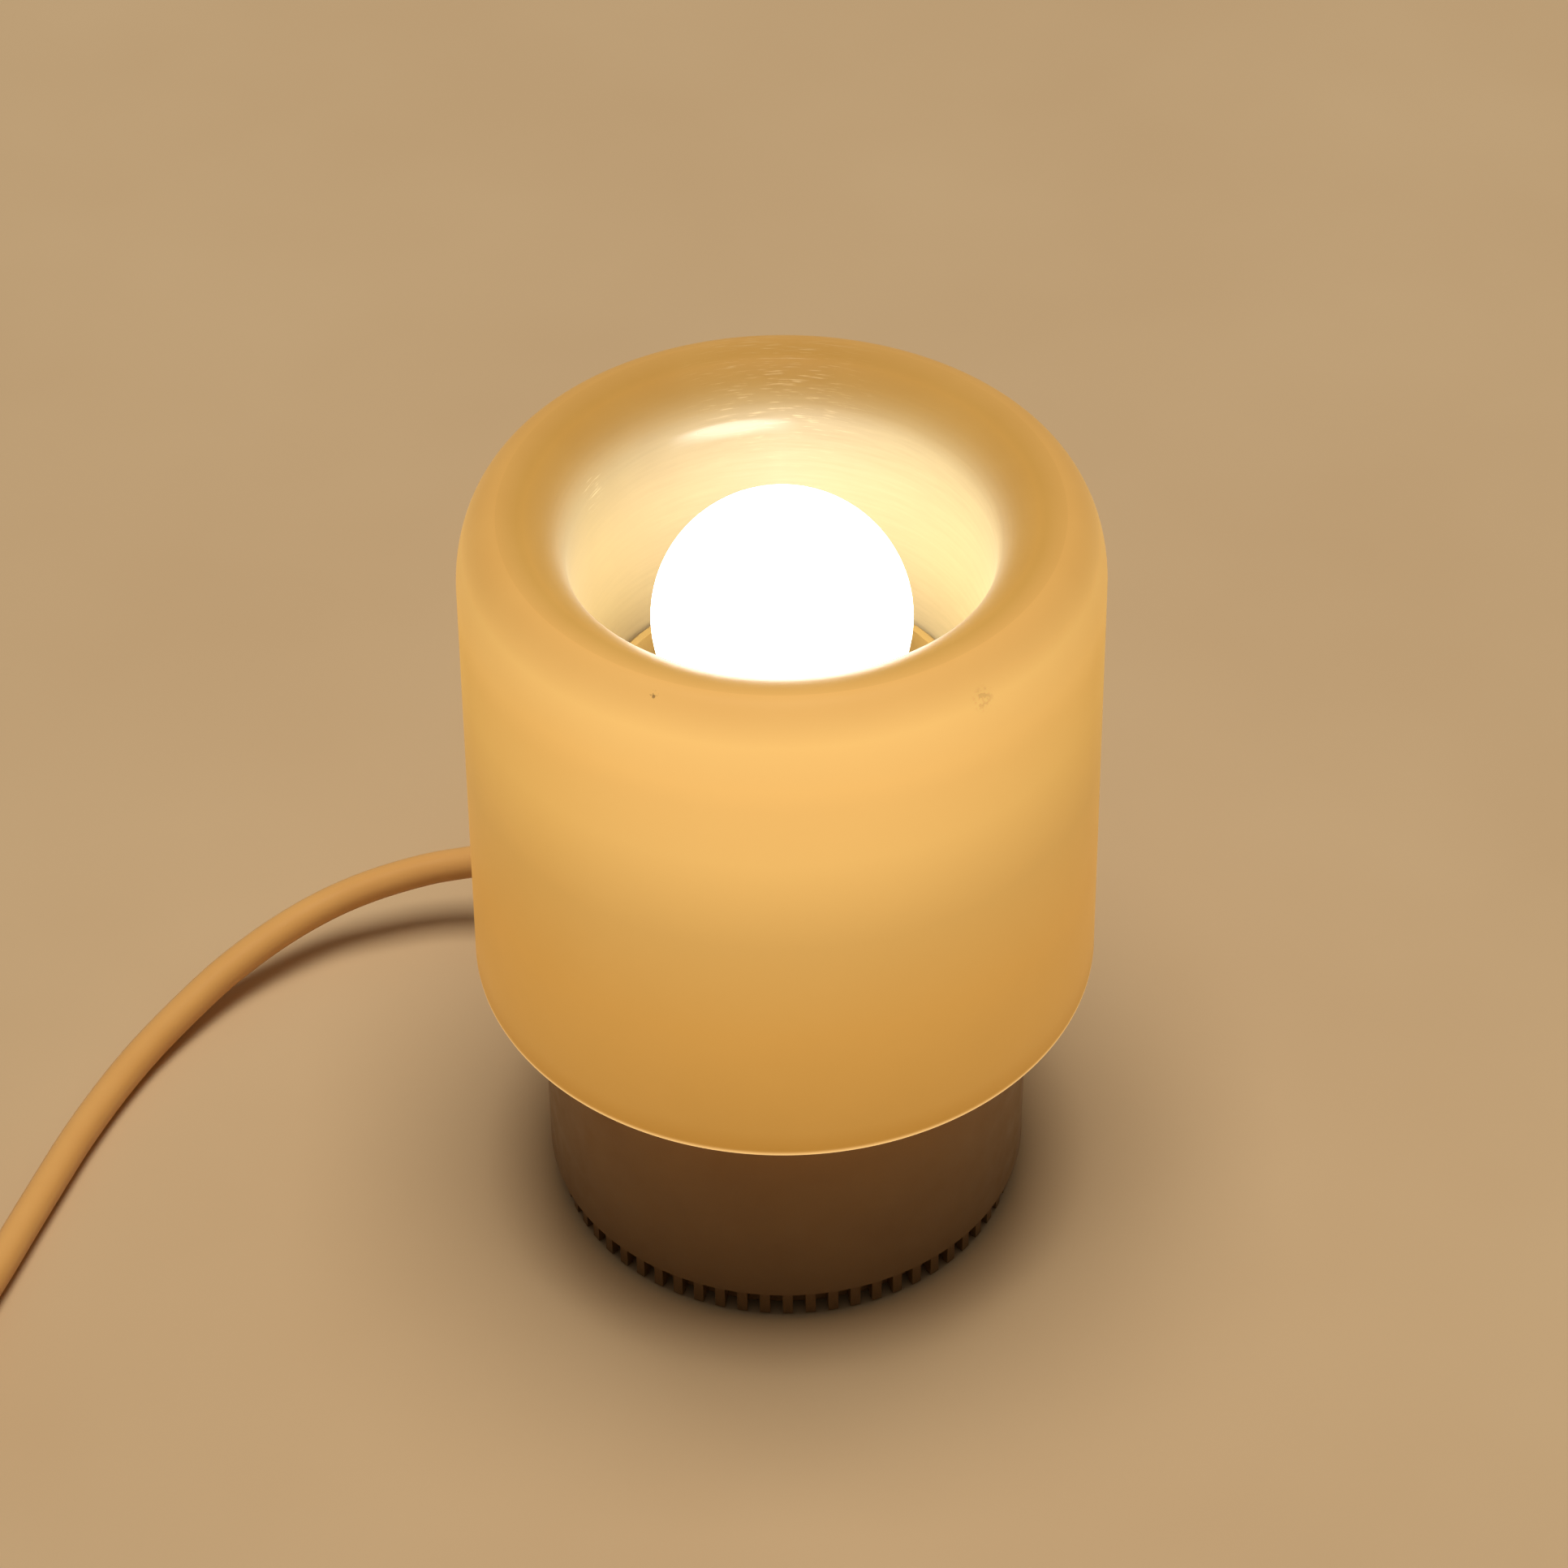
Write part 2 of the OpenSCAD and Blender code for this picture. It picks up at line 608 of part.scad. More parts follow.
module holder_shell() {
    tab_w = 2;
    tab_t = 0.5;
    rim_w = 0.5;
    color("#c8a24a") difference() {
        translate([0, 0, shell_z]) cylinder(h = shell_l, r = shell_r);
        translate([0, 0, shell_z + tab_t]) cylinder(h = shell_l, r = shell_in_r);
        difference() {
            translate([0, 0, shell_z - over]) cylinder(h = tab_t + 2 * over, r = shell_in_r - rim_w);
            translate([-tab_w / 2, neutral_at - wire_r, shell_z - 2 * over])
                cube([tab_w, 2 * shell_r, tab_t + 4 * over]);
        }
    }
}

module holder_contact() {
    strip_l = 2 * step_r - 0.8;
    stem_r = 1.15;
    button_t = 1;
    color("#c8a24a") union() {
        translate([-strip_l / 2, -strip_w / 2, floor_top]) cube([strip_l, strip_w, strip_t]);
        translate([0, 0, floor_top]) cylinder(h = contact_h, r = stem_r);
        translate([0, 0, floor_top + contact_h - button_t]) cylinder(h = button_t, r = contact_r);
    }
}

module nipple() {
    nipple_l = nipple_below + deck_t + holder_floor;
    color("#a9adb2") translate([0, 0, deck_z - nipple_below]) difference() {
        cylinder(h = nipple_l, r = nipple_r);
        translate([0, 0, -over]) cylinder(h = nipple_l + 2 * over, r = nipple_in_r);
    }
}

module nipple_nut() {
    color("#a9adb2") translate([0, 0, deck_z - nut_h]) difference() {
        cylinder(h = nut_h, r = nut_r, $fn = 6);
        translate([0, 0, -over]) cylinder(h = nut_h + 2 * over, r = nipple_r + thread_gap);
    }
}

module bulb_globe() {
    edge = asin(globe_cut / bulb_r);
    steps = 24;
    inner = bulb_r - globe_wall;
    inner_edge = asin(globe_cut / inner);
    color("#fffaf0") rotate_extrude() polygon(concat(arc_at([0, globe_z], bulb_r, bulb_r, -edge, 90, steps),
        arc_at([0, globe_z], inner, inner, 90, -inner_edge, steps)));
}

module bulb_collar() {
    steps = 6;
    flare_power = 1.3;
    neck_top = cap_top + collar_neck_h;
    function flare_r(i) = collar_r + (globe_edge_r - collar_r) * pow(i / steps, flare_power);
    function flare_z(i) = neck_top + (collar_top - neck_top) * i / steps;
    color("#f7f6f2") rotate_extrude() polygon(concat([[0, cap_top], [collar_r, cap_top]],
        [for (i = [0 : steps]) [flare_r(i), flare_z(i)]],
        [for (i = [steps : -1 : 1]) [flare_r(i) - collar_wall, flare_z(i)]], [[0, flare_z(1)]]));
}

module bulb_cap() {
    threads = 5;
    depth = 0.5;
    pitch = 2.8;
    start = cap_z + 3;
    rounds = [for (i = [0 : threads - 1]) each [[cap_r - depth, start + i * pitch],
        [cap_r, start + (i + 0.35) * pitch], [cap_r, start + (i + 0.65) * pitch]]];
    thread_end = start + threads * pitch;
    bore_r = cap_r - depth - cap_wall;
    color("#c3c6c9") rotate_extrude() polygon(concat([[bore_r, cap_z], [cap_r - depth, cap_z]], rounds,
        [[cap_r - depth, thread_end], [cap_r, thread_end + 1], [cap_r, cap_top], [bore_r, cap_top]]));
}

module bulb_insulator() {
    brim = 1;
    color("#1f2022") translate([0, 0, tip_z + tip_h])
        cylinder(h = insulator_h, r1 = contact_r + brim, r2 = cap_r - tip_step);
}

module bulb_contact() {
    color("#c3c6c9") translate([0, 0, tip_z]) cylinder(h = tip_h, r1 = contact_r - tip_step, r2 = contact_r);
}

module strain_relief() {
    grooves = 5;
    groove = 0.7;
    swell_r = relief_neck_r + 0.6;
    taper_start = base_r + slide_gap + relief_flange_t;
    taper_l = relief_end - taper_start;
    step = taper_l / (2 * grooves + 1);
    function taper_r(s) = swell_r + (relief_tip_r - swell_r) * s / taper_l;
    ribs = [for (i = [0 : grooves - 1]) let (a = (2 * i + 1) * step, b = (2 * i + 2) * step) each [
        [taper_r(a), taper_start + a], [taper_r(a) - groove, taper_start + a],
        [taper_r(b) - groove, taper_start + b], [taper_r(b), taper_start + b]]];
    face = base_r + slide_gap;
    flanges = [[0, relief_start], [relief_flange_r, relief_start], [relief_flange_r, flange_seat],
        [relief_neck_r, flange_seat], [relief_neck_r, face], [relief_flange_r, face],
        [relief_flange_r, taper_start], [taper_r(0), taper_start]];
    color("#d6b07a") at_cord(0) rotate_extrude()
        polygon(concat(flanges, ribs, [[relief_tip_r, relief_end], [0, relief_end]]));
}

module cord_inner() {
    color("#d6b07a") at_cord(inner_end) cylinder(h = relief_start - inner_end, r = cord_r);
}

module cord_grip() {
    top = cord_z + cord_r + grip_top_t;
    color("#26272a") difference() {
        translate(at_out(grip_at, 0, chassis_top)) rotate([0, 0, cord_az]) union() {
            translate([-grip_t / 2, -grip_half, 0]) cube([grip_t, 2 * grip_half, grip_foot_t]);
            translate([-grip_t / 2, -grip_half + grip_foot, 0])
                cube([grip_t, 2 * (grip_half - grip_foot), top - chassis_top]);
        }
        at_cord(grip_at - grip_t) cylinder(h = 2 * grip_t, r = cord_r + thread_gap);
        translate(at_out(grip_at, 0, chassis_top)) rotate([0, 0, cord_az])
            translate([-grip_t, -cord_r - thread_gap, -over])
                cube([2 * grip_t, cord_d + 2 * thread_gap, cord_z - chassis_top + over]);
        at_grip_screws() translate([0, 0, -over]) cylinder(h = grip_foot_t + 2 * over, r = screw_hole_r);
    }
}

module grip_screws() {
    color("#b9bcc0") at_grip_screws() translate([0, 0, grip_foot_t])
        screw(grip_foot_t + chassis_t - screw_short, grip_foot / 2 - thread_gap);
}

module live_wire() {
    color("#7a4a2b") tube(live_path, wire_r, wire_sides, [0, 0, 1]);
}

module switched_wire() {
    color("#7a4a2b") tube(switched_path, wire_r, wire_sides);
}

module neutral_wire() {
    color("#2f5f9e") tube(neutral_path, wire_r, wire_sides, [0, 0.01, 1]);
}

module cord_lead() {
    color("#d6b07a") tube(lead_path, cord_r, cord_sides, [0, 0, 1]);
}

module cord_coil() {
    color("#d6b07a") tube(coil_path, cord_r, coil_sides, [1, 0, 0]);
}

module cord_tail() {
    color("#d6b07a") tube(tail_path, cord_r, cord_sides, [1, 0, 0]);
}

module coil_tie() {
    color("#2b2b2d") translate([coil_centre[0], coil_centre[1], 0]) rotate([0, 0, tie_az]) difference() {
        translate([tie_in - tie_t, -tie_w / 2, 0])
            cube([tie_out - tie_in + 2 * tie_t, tie_w, tie_top + tie_t]);
        translate([tie_in, -tie_w, tie_t]) cube([tie_out - tie_in, 2 * tie_w, tie_top - tie_t]);
    }
}

module plug_body() {
    boot_l = 10;
    boot_wall = 0.6;
    boot_step = 0.5;
    color("#d6b07a") translate(plug_face) rotate([-90, 0, 0]) union() {
        cylinder(h = boot_l, r1 = cord_r + boot_wall, r2 = plug_h / 2 - boot_step);
        translate([0, 0, boot_l - over]) linear_extrude(plug_l - boot_l + over) hull() for (s = [-1, 1])
            translate([s * (plug_w - plug_h) / 2, 0]) circle(d = plug_h - slide_gap, $fn = 32);
    }
}

module plug_pins() {
    pin_r = pin_d / 2;
    tip = 0.8;
    color("#c3c6c9") for (s = [-1, 1]) translate(plug_face + [s * pin_spacing / 2, plug_l, 0])
        rotate([-90, 0, 0]) rotate_extrude()
            polygon([[0, 0], [pin_r, 0], [pin_r, pin_l - tip], [pin_r - tip, pin_l], [0, pin_l]]);
}

shade();
housing();
turret();
turret_screws();
chassis();
chassis_screws();
foot();
foot_pad();
stop_screws();
foot_springs();
switch_body();
switch_plunger();
switch_terminals();
switch_screws();
holder_body();
holder_shell();
holder_contact();
nipple();
nipple_nut();
bulb_globe();
bulb_collar();
bulb_cap();
bulb_insulator();
bulb_contact();
strain_relief();
cord_inner();
cord_grip();
grip_screws();
live_wire();
switched_wire();
neutral_wire();
cord_lead();
cord_coil();
cord_tail();
coil_tie();
plug_body();
plug_pins();
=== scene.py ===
# %% [markdown]
# Dressing a lit table lamp
#
# The lamp is a ring-shaped opal shade whose top rolls in to a mouth around a globe bulb.
# It stands on a plain cylinder base with a toothed foot, and a thick round cord leaves it behind.
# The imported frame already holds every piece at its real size, in metres, with +Z up.
# This lesson adds what the eye needs: smooth curves, finishes, the cord, a floor, light and a camera.

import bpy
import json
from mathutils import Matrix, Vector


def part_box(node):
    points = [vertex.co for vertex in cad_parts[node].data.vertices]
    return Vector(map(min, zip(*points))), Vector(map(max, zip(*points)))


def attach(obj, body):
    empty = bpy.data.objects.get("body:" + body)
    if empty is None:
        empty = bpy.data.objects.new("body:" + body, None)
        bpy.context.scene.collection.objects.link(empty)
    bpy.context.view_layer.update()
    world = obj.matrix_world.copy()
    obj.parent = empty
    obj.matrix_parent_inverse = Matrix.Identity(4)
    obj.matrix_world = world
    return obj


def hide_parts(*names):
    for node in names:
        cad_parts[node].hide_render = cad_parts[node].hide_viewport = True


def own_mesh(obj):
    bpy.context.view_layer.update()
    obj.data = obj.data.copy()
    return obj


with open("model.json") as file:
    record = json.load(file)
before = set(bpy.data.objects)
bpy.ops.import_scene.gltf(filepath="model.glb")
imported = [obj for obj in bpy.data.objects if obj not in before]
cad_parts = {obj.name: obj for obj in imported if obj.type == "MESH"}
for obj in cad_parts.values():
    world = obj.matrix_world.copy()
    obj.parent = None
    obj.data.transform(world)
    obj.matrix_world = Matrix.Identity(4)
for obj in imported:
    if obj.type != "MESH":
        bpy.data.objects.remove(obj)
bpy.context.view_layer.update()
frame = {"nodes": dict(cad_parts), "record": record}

# %% Bring in the tools
import json
import math

import bmesh
import bpy
from mathutils import Matrix, Vector

scene = bpy.context.scene
mm = 0.001
nodes = frame["nodes"]

# %% [markdown]
# The camera comes first, because everything else is judged through it.
# It stands in front of the lamp at arm's length and looks down into the mouth of the shade.
# A long lens keeps the sides of the shade nearly upright, as they are on the real lamp.
# The picture leans by half a degree, so the camera is rolled by the same small angle.

# %% Set up the camera
picture_px = 1932
focal_px = 5500
sensor_mm = 36.0
eye = Vector((0.0001, -0.6279, 0.6601))
look_down = math.radians(41.81)
lean = math.radians(-0.48)

camera_data = bpy.data.cameras.new("camera")
camera_data.sensor_width = sensor_mm
camera_data.lens = sensor_mm * focal_px / picture_px
camera = bpy.data.objects.new("camera", camera_data)
tilt = Matrix.Rotation(math.pi / 2 - look_down, 4, "X")
camera.matrix_world = Matrix.Translation(eye) @ tilt @ Matrix.Rotation(lean, 4, "Z")
scene.collection.objects.link(camera)
scene.camera = camera
print("Camera lens", round(camera_data.lens, 1), "mm")

# %% [markdown]
# The cord is a thick round mains lead. It leaves the back of the base, runs down to the table and away.
# A curve with a round bevel is the natural way to draw it: one line, one diameter, no seams.
# It is then turned into a mesh, because a curve's box in Blender is wider than the tube that it shows.
# The first stretch follows a list of given points, with a smooth curve through them.
# The rest of the lead is put away in a flat coil, which a formula winds:
# it spirals in on the table, climbs one layer, and spirals out again on top.

# %% Draw the free stretch of the cord
cord_d = 6.8
cord_r = cord_d / 2
cord_az = math.radians(125)
cord_z = 22
relief_end = 67.5
straight_l = 4
cord_out = Vector((math.cos(cord_az), math.sin(cord_az), 0))
lead_start = cord_out * relief_end + Vector((0, 0, cord_z))
route = [(-44, 61, 21), (-51, 65.5, 19.5), (-59, 67.5, 18), (-67.5, 67.5, 16.5), (-76, 66.5, 15.5),
         (-87, 63.5, 14), (-97, 59.5, 12), (-107, 53, 10), (-117, 44.5, 7.5), (-125.5, 34.5, 5.5),
         (-133, 23.5, 4.2), (-139, 12, 3.6), (-144, 0, 3.5), (-148, -11.5, 3.5), (-152, -23.5, 3.5),
         (-156, -36, 3.6), (-160, -48, 4)]
print("The free stretch bends at", len(route), "points")


def curve_through(points, steps):
    """A smooth line through every point, with a few steps on each stretch."""
    last = len(points) - 1
    line = []
    for i in range(last):
        a, b, c, d = (points[min(max(i + k, 0), last)] for k in (-1, 0, 1, 2))
        for s in range(steps):
            t = s / steps
            line.append(0.5 * (2 * b + (c - a) * t + (2 * a - 5 * b + 4 * c - d) * t ** 2
                               + (3 * b - a - 3 * c + d) * t ** 3))
    return line + [points[last]]


# %% Wind the coil
coil_centre = Vector((-214, -51, 0))
coil_start = math.radians(-18)
coil_end = math.radians(180)
coil_turns = 7 + (coil_start - coil_end) / math.tau
coil_pitch = 7.3
coil_least_r = 27.3
coil_low = 4.3
coil_high = coil_low + coil_pitch
points_per_turn = 60


def coil_at(turn):
    """A point of the coil: in, up one layer, and out again."""
    past_middle = turn - coil_turns / 2
    radius = coil_least_r + coil_pitch * abs(past_middle)
    climb = min(max(past_middle * 2 + 0.5, 0), 1)
    z = coil_low + (coil_high - coil_low) * (1 - math.cos(math.pi * climb)) / 2
    az = coil_start - math.tau * turn
    return coil_centre + Vector((radius * math.cos(az), radius * math.sin(az), z))


def heading(az):
    """The way the cord runs at that side of the coil."""
    return Vector((math.sin(az), -math.cos(az), 0))


coil_count = math.ceil(coil_turns * points_per_turn)
coil_line = [coil_at(coil_turns * i / coil_count) for i in range(coil_count + 1)]
coil_in = coil_line[0] - heading(coil_start) * cord_d
coil_out = coil_line[-1] + heading(coil_end) * cord_d
print("The coil has", round(coil_turns, 2), "turns")

# %% Join the stretches into one cord
tail_l = 34
plug_low, plug_high = (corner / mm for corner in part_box("plug_body"))
plug_z = (plug_low.z + plug_high.z) / 2
lead_bend = [lead_start + cord_out * straight_l] + [Vector(p) for p in route]
lead_bend.append(coil_in - heading(coil_start) * straight_l)
tail_line = []
tail_steps = 24
for i in range(tail_steps + 1):
    share = i / tail_steps
    drop = (plug_z - coil_out.z) * (1 - math.cos(math.pi * share)) / 2
    tail_line.append(coil_out + Vector((0, straight_l + (tail_l - 2 * straight_l) * share, drop)))
plug_face = Vector((coil_out.x, coil_out.y + tail_l, plug_z))
cord_line = [lead_start] + curve_through(lead_bend, 8) + [coil_in] + coil_line + [coil_out]
cord_line += tail_line + [plug_face]
cord_line = [point * mm for point in cord_line]

cord_curve = bpy.data.curves.new("mains_cord", "CURVE")
cord_curve.dimensions = "3D"
cord_curve.bevel_depth = cord_r * mm
cord_curve.bevel_resolution = 5
cord_curve.use_fill_caps = True
spline = cord_curve.splines.new("POLY")
spline.points.add(len(cord_line) - 1)
for knot, point in zip(spline.points, cord_line):
    knot.co = (*point, 1)
spline.use_smooth = True
drawn_cord = bpy.data.objects.new("drawn_cord", cord_curve)
scene.collection.objects.link(drawn_cord)
shown = bpy.context.evaluated_depsgraph_get()
cord_mesh = bpy.data.meshes.new_from_object(drawn_cord.evaluated_get(shown))
cord_mesh.name = "mains_cord"
bpy.data.objects.remove(drawn_cord)
mains_cord = bpy.data.objects.new("mains_cord", cord_mesh)
scene.collection.objects.link(mains_cord)
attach(mains_cord, "lamp_base")
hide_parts("cord_lead", "cord_coil", "cord_tail")

# %% [markdown]
# Most of the lamp is turned: the shade, the bulb and the screws are all round about one axis.
# A lathe is the shortest way to such a mesh. It takes half a section and sweeps it around the axis.
# The section closes on itself, so every turned piece is a real shell with an inside and an outside.

# %% Make a lathe
def finish_mesh(name, bm, sharp_degrees):
    """Turn the built faces into an object with outward normals and smooth shading."""
    bmesh.ops.recalc_face_normals(bm, faces=bm.faces)
    mesh = bpy.data.meshes.new(name)
    bm.to_mesh(mesh)
    bm.free()
    mesh.shade_smooth()
    mesh.set_sharp_from_angle(angle=math.radians(sharp_degrees))
    piece = bpy.data.objects.new(name, mesh)
    scene.collection.objects.link(piece)
    print(name, "has", len(mesh.polygons), "faces")
    return piece


def bridge(bm, one, two):
    """Faces between two rings, where a ring may be a single point on the axis."""
    count = max(len(one), len(two))
    for i in range(count):
        corners = [one[i % len(one)], one[(i + 1) % len(one)], two[(i + 1) % len(two)], two[i % len(two)]]
        bm.faces.new(list(dict.fromkeys(corners)))


on_axis = 1e-6


def lathe(name, section, segments, sharp_degrees=40):
    """Sweep a closed half section, given as (radius, height) in millimetres, around the Z axis."""
    bm = bmesh.new()
    rings = []
    for radius, z in section:
        count = segments if radius > on_axis else 1
        angles = [math.tau * i / count for i in range(count)]
        rings.append([bm.verts.new((radius * mm * math.cos(a), radius * mm * math.sin(a), z * mm))
                      for a in angles])
    for one, two in zip(rings, rings[1:] + rings[:1]):
        if len(one) > 1 or len(two) > 1:
            bridge(bm, one, two)
    return finish_mesh(name, bm, sharp_degrees)


def arc(centre, across, up, start, stop, steps):
    """Points on an ellipse around centre, from one angle in degrees to another."""
    angles = [math.radians(start + (stop - start) * i / steps) for i in range(steps + 1)]
    return [(centre[0] + across * math.cos(a), centre[1] + up * math.sin(a)) for a in angles]


# %% [markdown]
# The shade is one moulding of opal plastic: a nearly straight skirt, a rounded shoulder, a crest,
# and a roll that turns in and down like the mouth of a trumpet to a short inner tube.
# Its section is three quarter ellipses and two straight runs, drawn once outside and once a wall further in.
# Fine steps on the arcs matter here, because the lit lip shows every facet.

# %% Turn the shade
shade_low, shade_high = (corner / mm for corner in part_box("shade"))
shade_r = shade_high.x
edge_z = shade_low.z
crest_z = shade_high.z
shade_wall = 2.6
draft = 1.1
shoulder_w, shoulder_h = 7.7, 15
roll_w, roll_h = 12.4, 11.1
tube_taper = 3.3
tube_end_h = 52.5

crest_r = shade_r - draft - shoulder_w
shoulder_z = crest_z - shoulder_h
throat_r = crest_r - roll_w
throat_z = crest_z - roll_h
tube_end_r = throat_r - tube_taper
seat_z = edge_z + tube_end_h
half_wall = shade_wall / 2
edge_centre = (shade_r - half_wall, edge_z + half_wall)
skirt_rows = 8
skirt_out = [(shade_r - draft * i / skirt_rows,
              edge_centre[1] + (shoulder_z - edge_centre[1]) * i / skirt_rows)
             for i in range(1, skirt_rows)]
skirt_in = [(radius - shade_wall, z) for radius, z in reversed(skirt_out)]
shade_section = arc(edge_centre, half_wall, half_wall, -90, 0, 6) + skirt_out
shade_section += arc((crest_r, shoulder_z), shoulder_w, shoulder_h, 0, 90, 28)
shade_section += arc((crest_r, throat_z), roll_w, roll_h, 93, 180, 32)
shade_section += [(tube_end_r, seat_z), (tube_end_r + shade_wall, seat_z)]
shade_section += arc((crest_r, throat_z), roll_w - shade_wall, roll_h - shade_wall, 180, 93, 24)
shade_section += arc((crest_r, shoulder_z), shoulder_w - shade_wall, shoulder_h - shade_wall, 90, 0, 20)
shade_section += skirt_in + arc(edge_centre, half_wall, half_wall, 180, 255, 5)
opal_shade = lathe("opal_shade", shade_section, segments=192)
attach(opal_shade, "lamp_shade")
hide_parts("shade")

# %% [markdown]
# The bulb is a small globe of opal glass, closed at the top and open below where it sits in its collar.
# A sphere with its lower cap cut away is all it is, so the lathe turns it as a thin shell.

# %% Turn the bulb's globe
globe_low, globe_high = (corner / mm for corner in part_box("bulb_globe"))
globe_r = globe_high.x
globe_z = globe_high.z - globe_r
globe_wall = 1.2
globe_cut = globe_z - globe_low.z
inner_r = globe_r - globe_wall
outer_edge = math.degrees(math.asin(globe_cut / globe_r))
inner_edge = math.degrees(math.asin(globe_cut / inner_r))
globe_section = arc((0, globe_z), globe_r, globe_r, -outer_edge, 90, 48)
globe_section += arc((0, globe_z), inner_r, inner_r, 90, -inner_edge, 48)
globe_section = [(0 if radius < on_axis else radius, z) for radius, z in globe_section]
glass_globe = lathe("glass_globe", globe_section, segments=96)
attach(glass_globe, "lamp_base")
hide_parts("bulb_globe")

# %% [markdown]
# Three small compression springs push the foot down. They are wire wound on a helix.
# A tube swept along the helix gives the wire.

# %% Sweep wire along a line
def sweep(name, lines, radius, sides):
    """A round wire along each line of points, in millimetres, closed at both ends."""
    bm = bmesh.new()
    for line in lines:
        rings = []
        side = Vector((1, 0, 0.01))
        for i, point in enumerate(line):
            along = (line[min(i + 1, len(line) - 1)] - line[max(i - 1, 0)]).normalized()
            side = (side - along * side.dot(along)).normalized()
            lift = along.cross(side)
            angles = [math.tau * k / sides for k in range(sides)]
            rings.append([bm.verts.new((point + (side * math.cos(a) + lift * math.sin(a)) * radius) * mm)
                          for a in angles])
        for one, two in zip(rings, rings[1:]):
            bridge(bm, one, two)
        bm.faces.new(rings[0])
        bm.faces.new(rings[-1])
    return finish_mesh(name, bm, 50)


# %% Wind the foot springs
spring_low, spring_high = (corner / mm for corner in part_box("foot_springs"))
spring_r = 4.4
spring_wire_r = 0.5
spring_turns = 4
spring_ring = 30.5
spring_steps = 24 * spring_turns
spring_foot = spring_low.z + spring_wire_r
spring_top = spring_high.z - spring_wire_r
helices = []
for k in range(3):
    az = cord_az + math.radians(30 + 120 * k)
    post = Vector((spring_ring * math.cos(az), spring_ring * math.sin(az), 0))
    turns = [(math.tau * spring_turns * i / spring_steps, i / spring_steps) for i in range(spring_steps + 1)]
    helices.append([post + Vector((spring_r * math.cos(a), spring_r * math.sin(a),
                                   spring_foot + (spring_top - spring_foot) * s)) for a, s in turns])
wound_springs = sweep("wound_springs", helices, spring_wire_r, 10)
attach(wound_springs, "lamp_base")
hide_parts("foot_springs")
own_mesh(wound_springs)

# %% [markdown]
# The plug is moulded on the end of the cord: a ribbed boot that opens into a flat body with finger grips.
# It is a loft, a row of rounded outlines along its length.
# Each outline has a width, a height and a squareness,
# so the boot can start round and the body can end as a soft-cornered slab.

# %% Loft the plug
def rounded_outline(half_w, half_h, squareness, count):
    """Points around a superellipse: squareness 2 is an ellipse, and more is squarer."""
    points = []
    for i in range(count):
        a = math.tau * i / count
        c, s = math.cos(a), math.sin(a)
        points.append((math.copysign(abs(c) ** (2 / squareness), c) * half_w,
                       math.copysign(abs(s) ** (2 / squareness), s) * half_h))
    return points


plug_ease = 0.1
plug_w = (plug_high.x - plug_low.x) / 2 - plug_ease
plug_h = (plug_high.z - plug_low.z) / 2 - plug_ease
plug_l = plug_high.y - plug_low.y
boot_l = 10
boot_tip_r = 4.0
boot_ribs = 4
boot_rows = 32
rib_depth = 0.45
ribbed_share = 0.85
neck_w, neck_h = 1.2, 0.7
stations = []
for i in range(boot_rows + 1):
    share = i / boot_rows
    swell = share ** 3
    rib = rib_depth * math.sin(math.pi * boot_ribs * min(share / ribbed_share, 1)) ** 2
    wide = boot_tip_r + (plug_w - neck_w - boot_tip_r) * swell + rib
    high = boot_tip_r + (plug_h - neck_h - boot_tip_r) * share + rib
    stations.append((boot_l * share, wide, high, 2 + swell))
grip_from, grip_to, grip_count = 14, 25, 5
grip_depth = 0.55
body_rows = 60
neck_l = 2
corner_r = 1.6
outline_points = 56
for i in range(1, body_rows + 1):
    y = boot_l + (plug_l - boot_l) * i / body_rows
    soft = max(0, y - (plug_l - corner_r)) / corner_r
    shrink = corner_r * (1 - math.sqrt(max(0, 1 - soft ** 2)))
    start = min(1, (y - boot_l) / neck_l)
    groove = 0
    if grip_from < y < grip_to:
        groove = grip_depth * math.sin(math.pi * grip_count * (y - grip_from) / (grip_to - grip_from)) ** 2
    wide = plug_w - neck_w * (1 - start) - shrink - groove
    high = plug_h - neck_h * (1 - start) - shrink
    stations.append((y, wide, high, 3 + start))

bm = bmesh.new()
rings = []
for y, half_w, half_h, squareness in stations:
    outline = rounded_outline(half_w, half_h, squareness, outline_points)
    rings.append([bm.verts.new((plug_face + Vector((x, y, z))) * mm) for x, z in outline])
for one, two in zip(rings, rings[1:]):
    bridge(bm, one, two)
bm.faces.new(rings[0])
bm.faces.new(rings[-1])
moulded_plug = finish_mesh("moulded_plug", bm, 50)
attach(moulded_plug, "lamp_base")
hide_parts("plug_body")

# %% [markdown]
# A short strap holds the coil together.
# It is a flat band bent around all the turns, with its loose end laid on top.
# The band's line is a rectangle with round corners, and its section is a thin strip with soft edges.

# %% Bend the tie around the coil
tie_low, tie_high = (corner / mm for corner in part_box("coil_tie"))
tie_t = 0.8
tie_w = tie_high.x - tie_low.x
tie_x = (tie_low.x + tie_high.x) / 2
tie_corner = 3
tie_middle = ((tie_low.y + tie_high.y) / 2, (tie_low.z + tie_high.z) / 2)
tie_half = ((tie_high.y - tie_low.y - tie_t) / 2, (tie_high.z - tie_low.z - tie_t) / 2)
band_line = []
for k, (sy, sz) in enumerate(((1, 1), (-1, 1), (-1, -1), (1, -1))):
    corner_at = (tie_middle[0] + sy * (tie_half[0] - tie_corner),
                 tie_middle[1] + sz * (tie_half[1] - tie_corner))
    band_line += arc(corner_at, tie_corner, tie_corner, 90 * k, 90 * k + 90, 8)


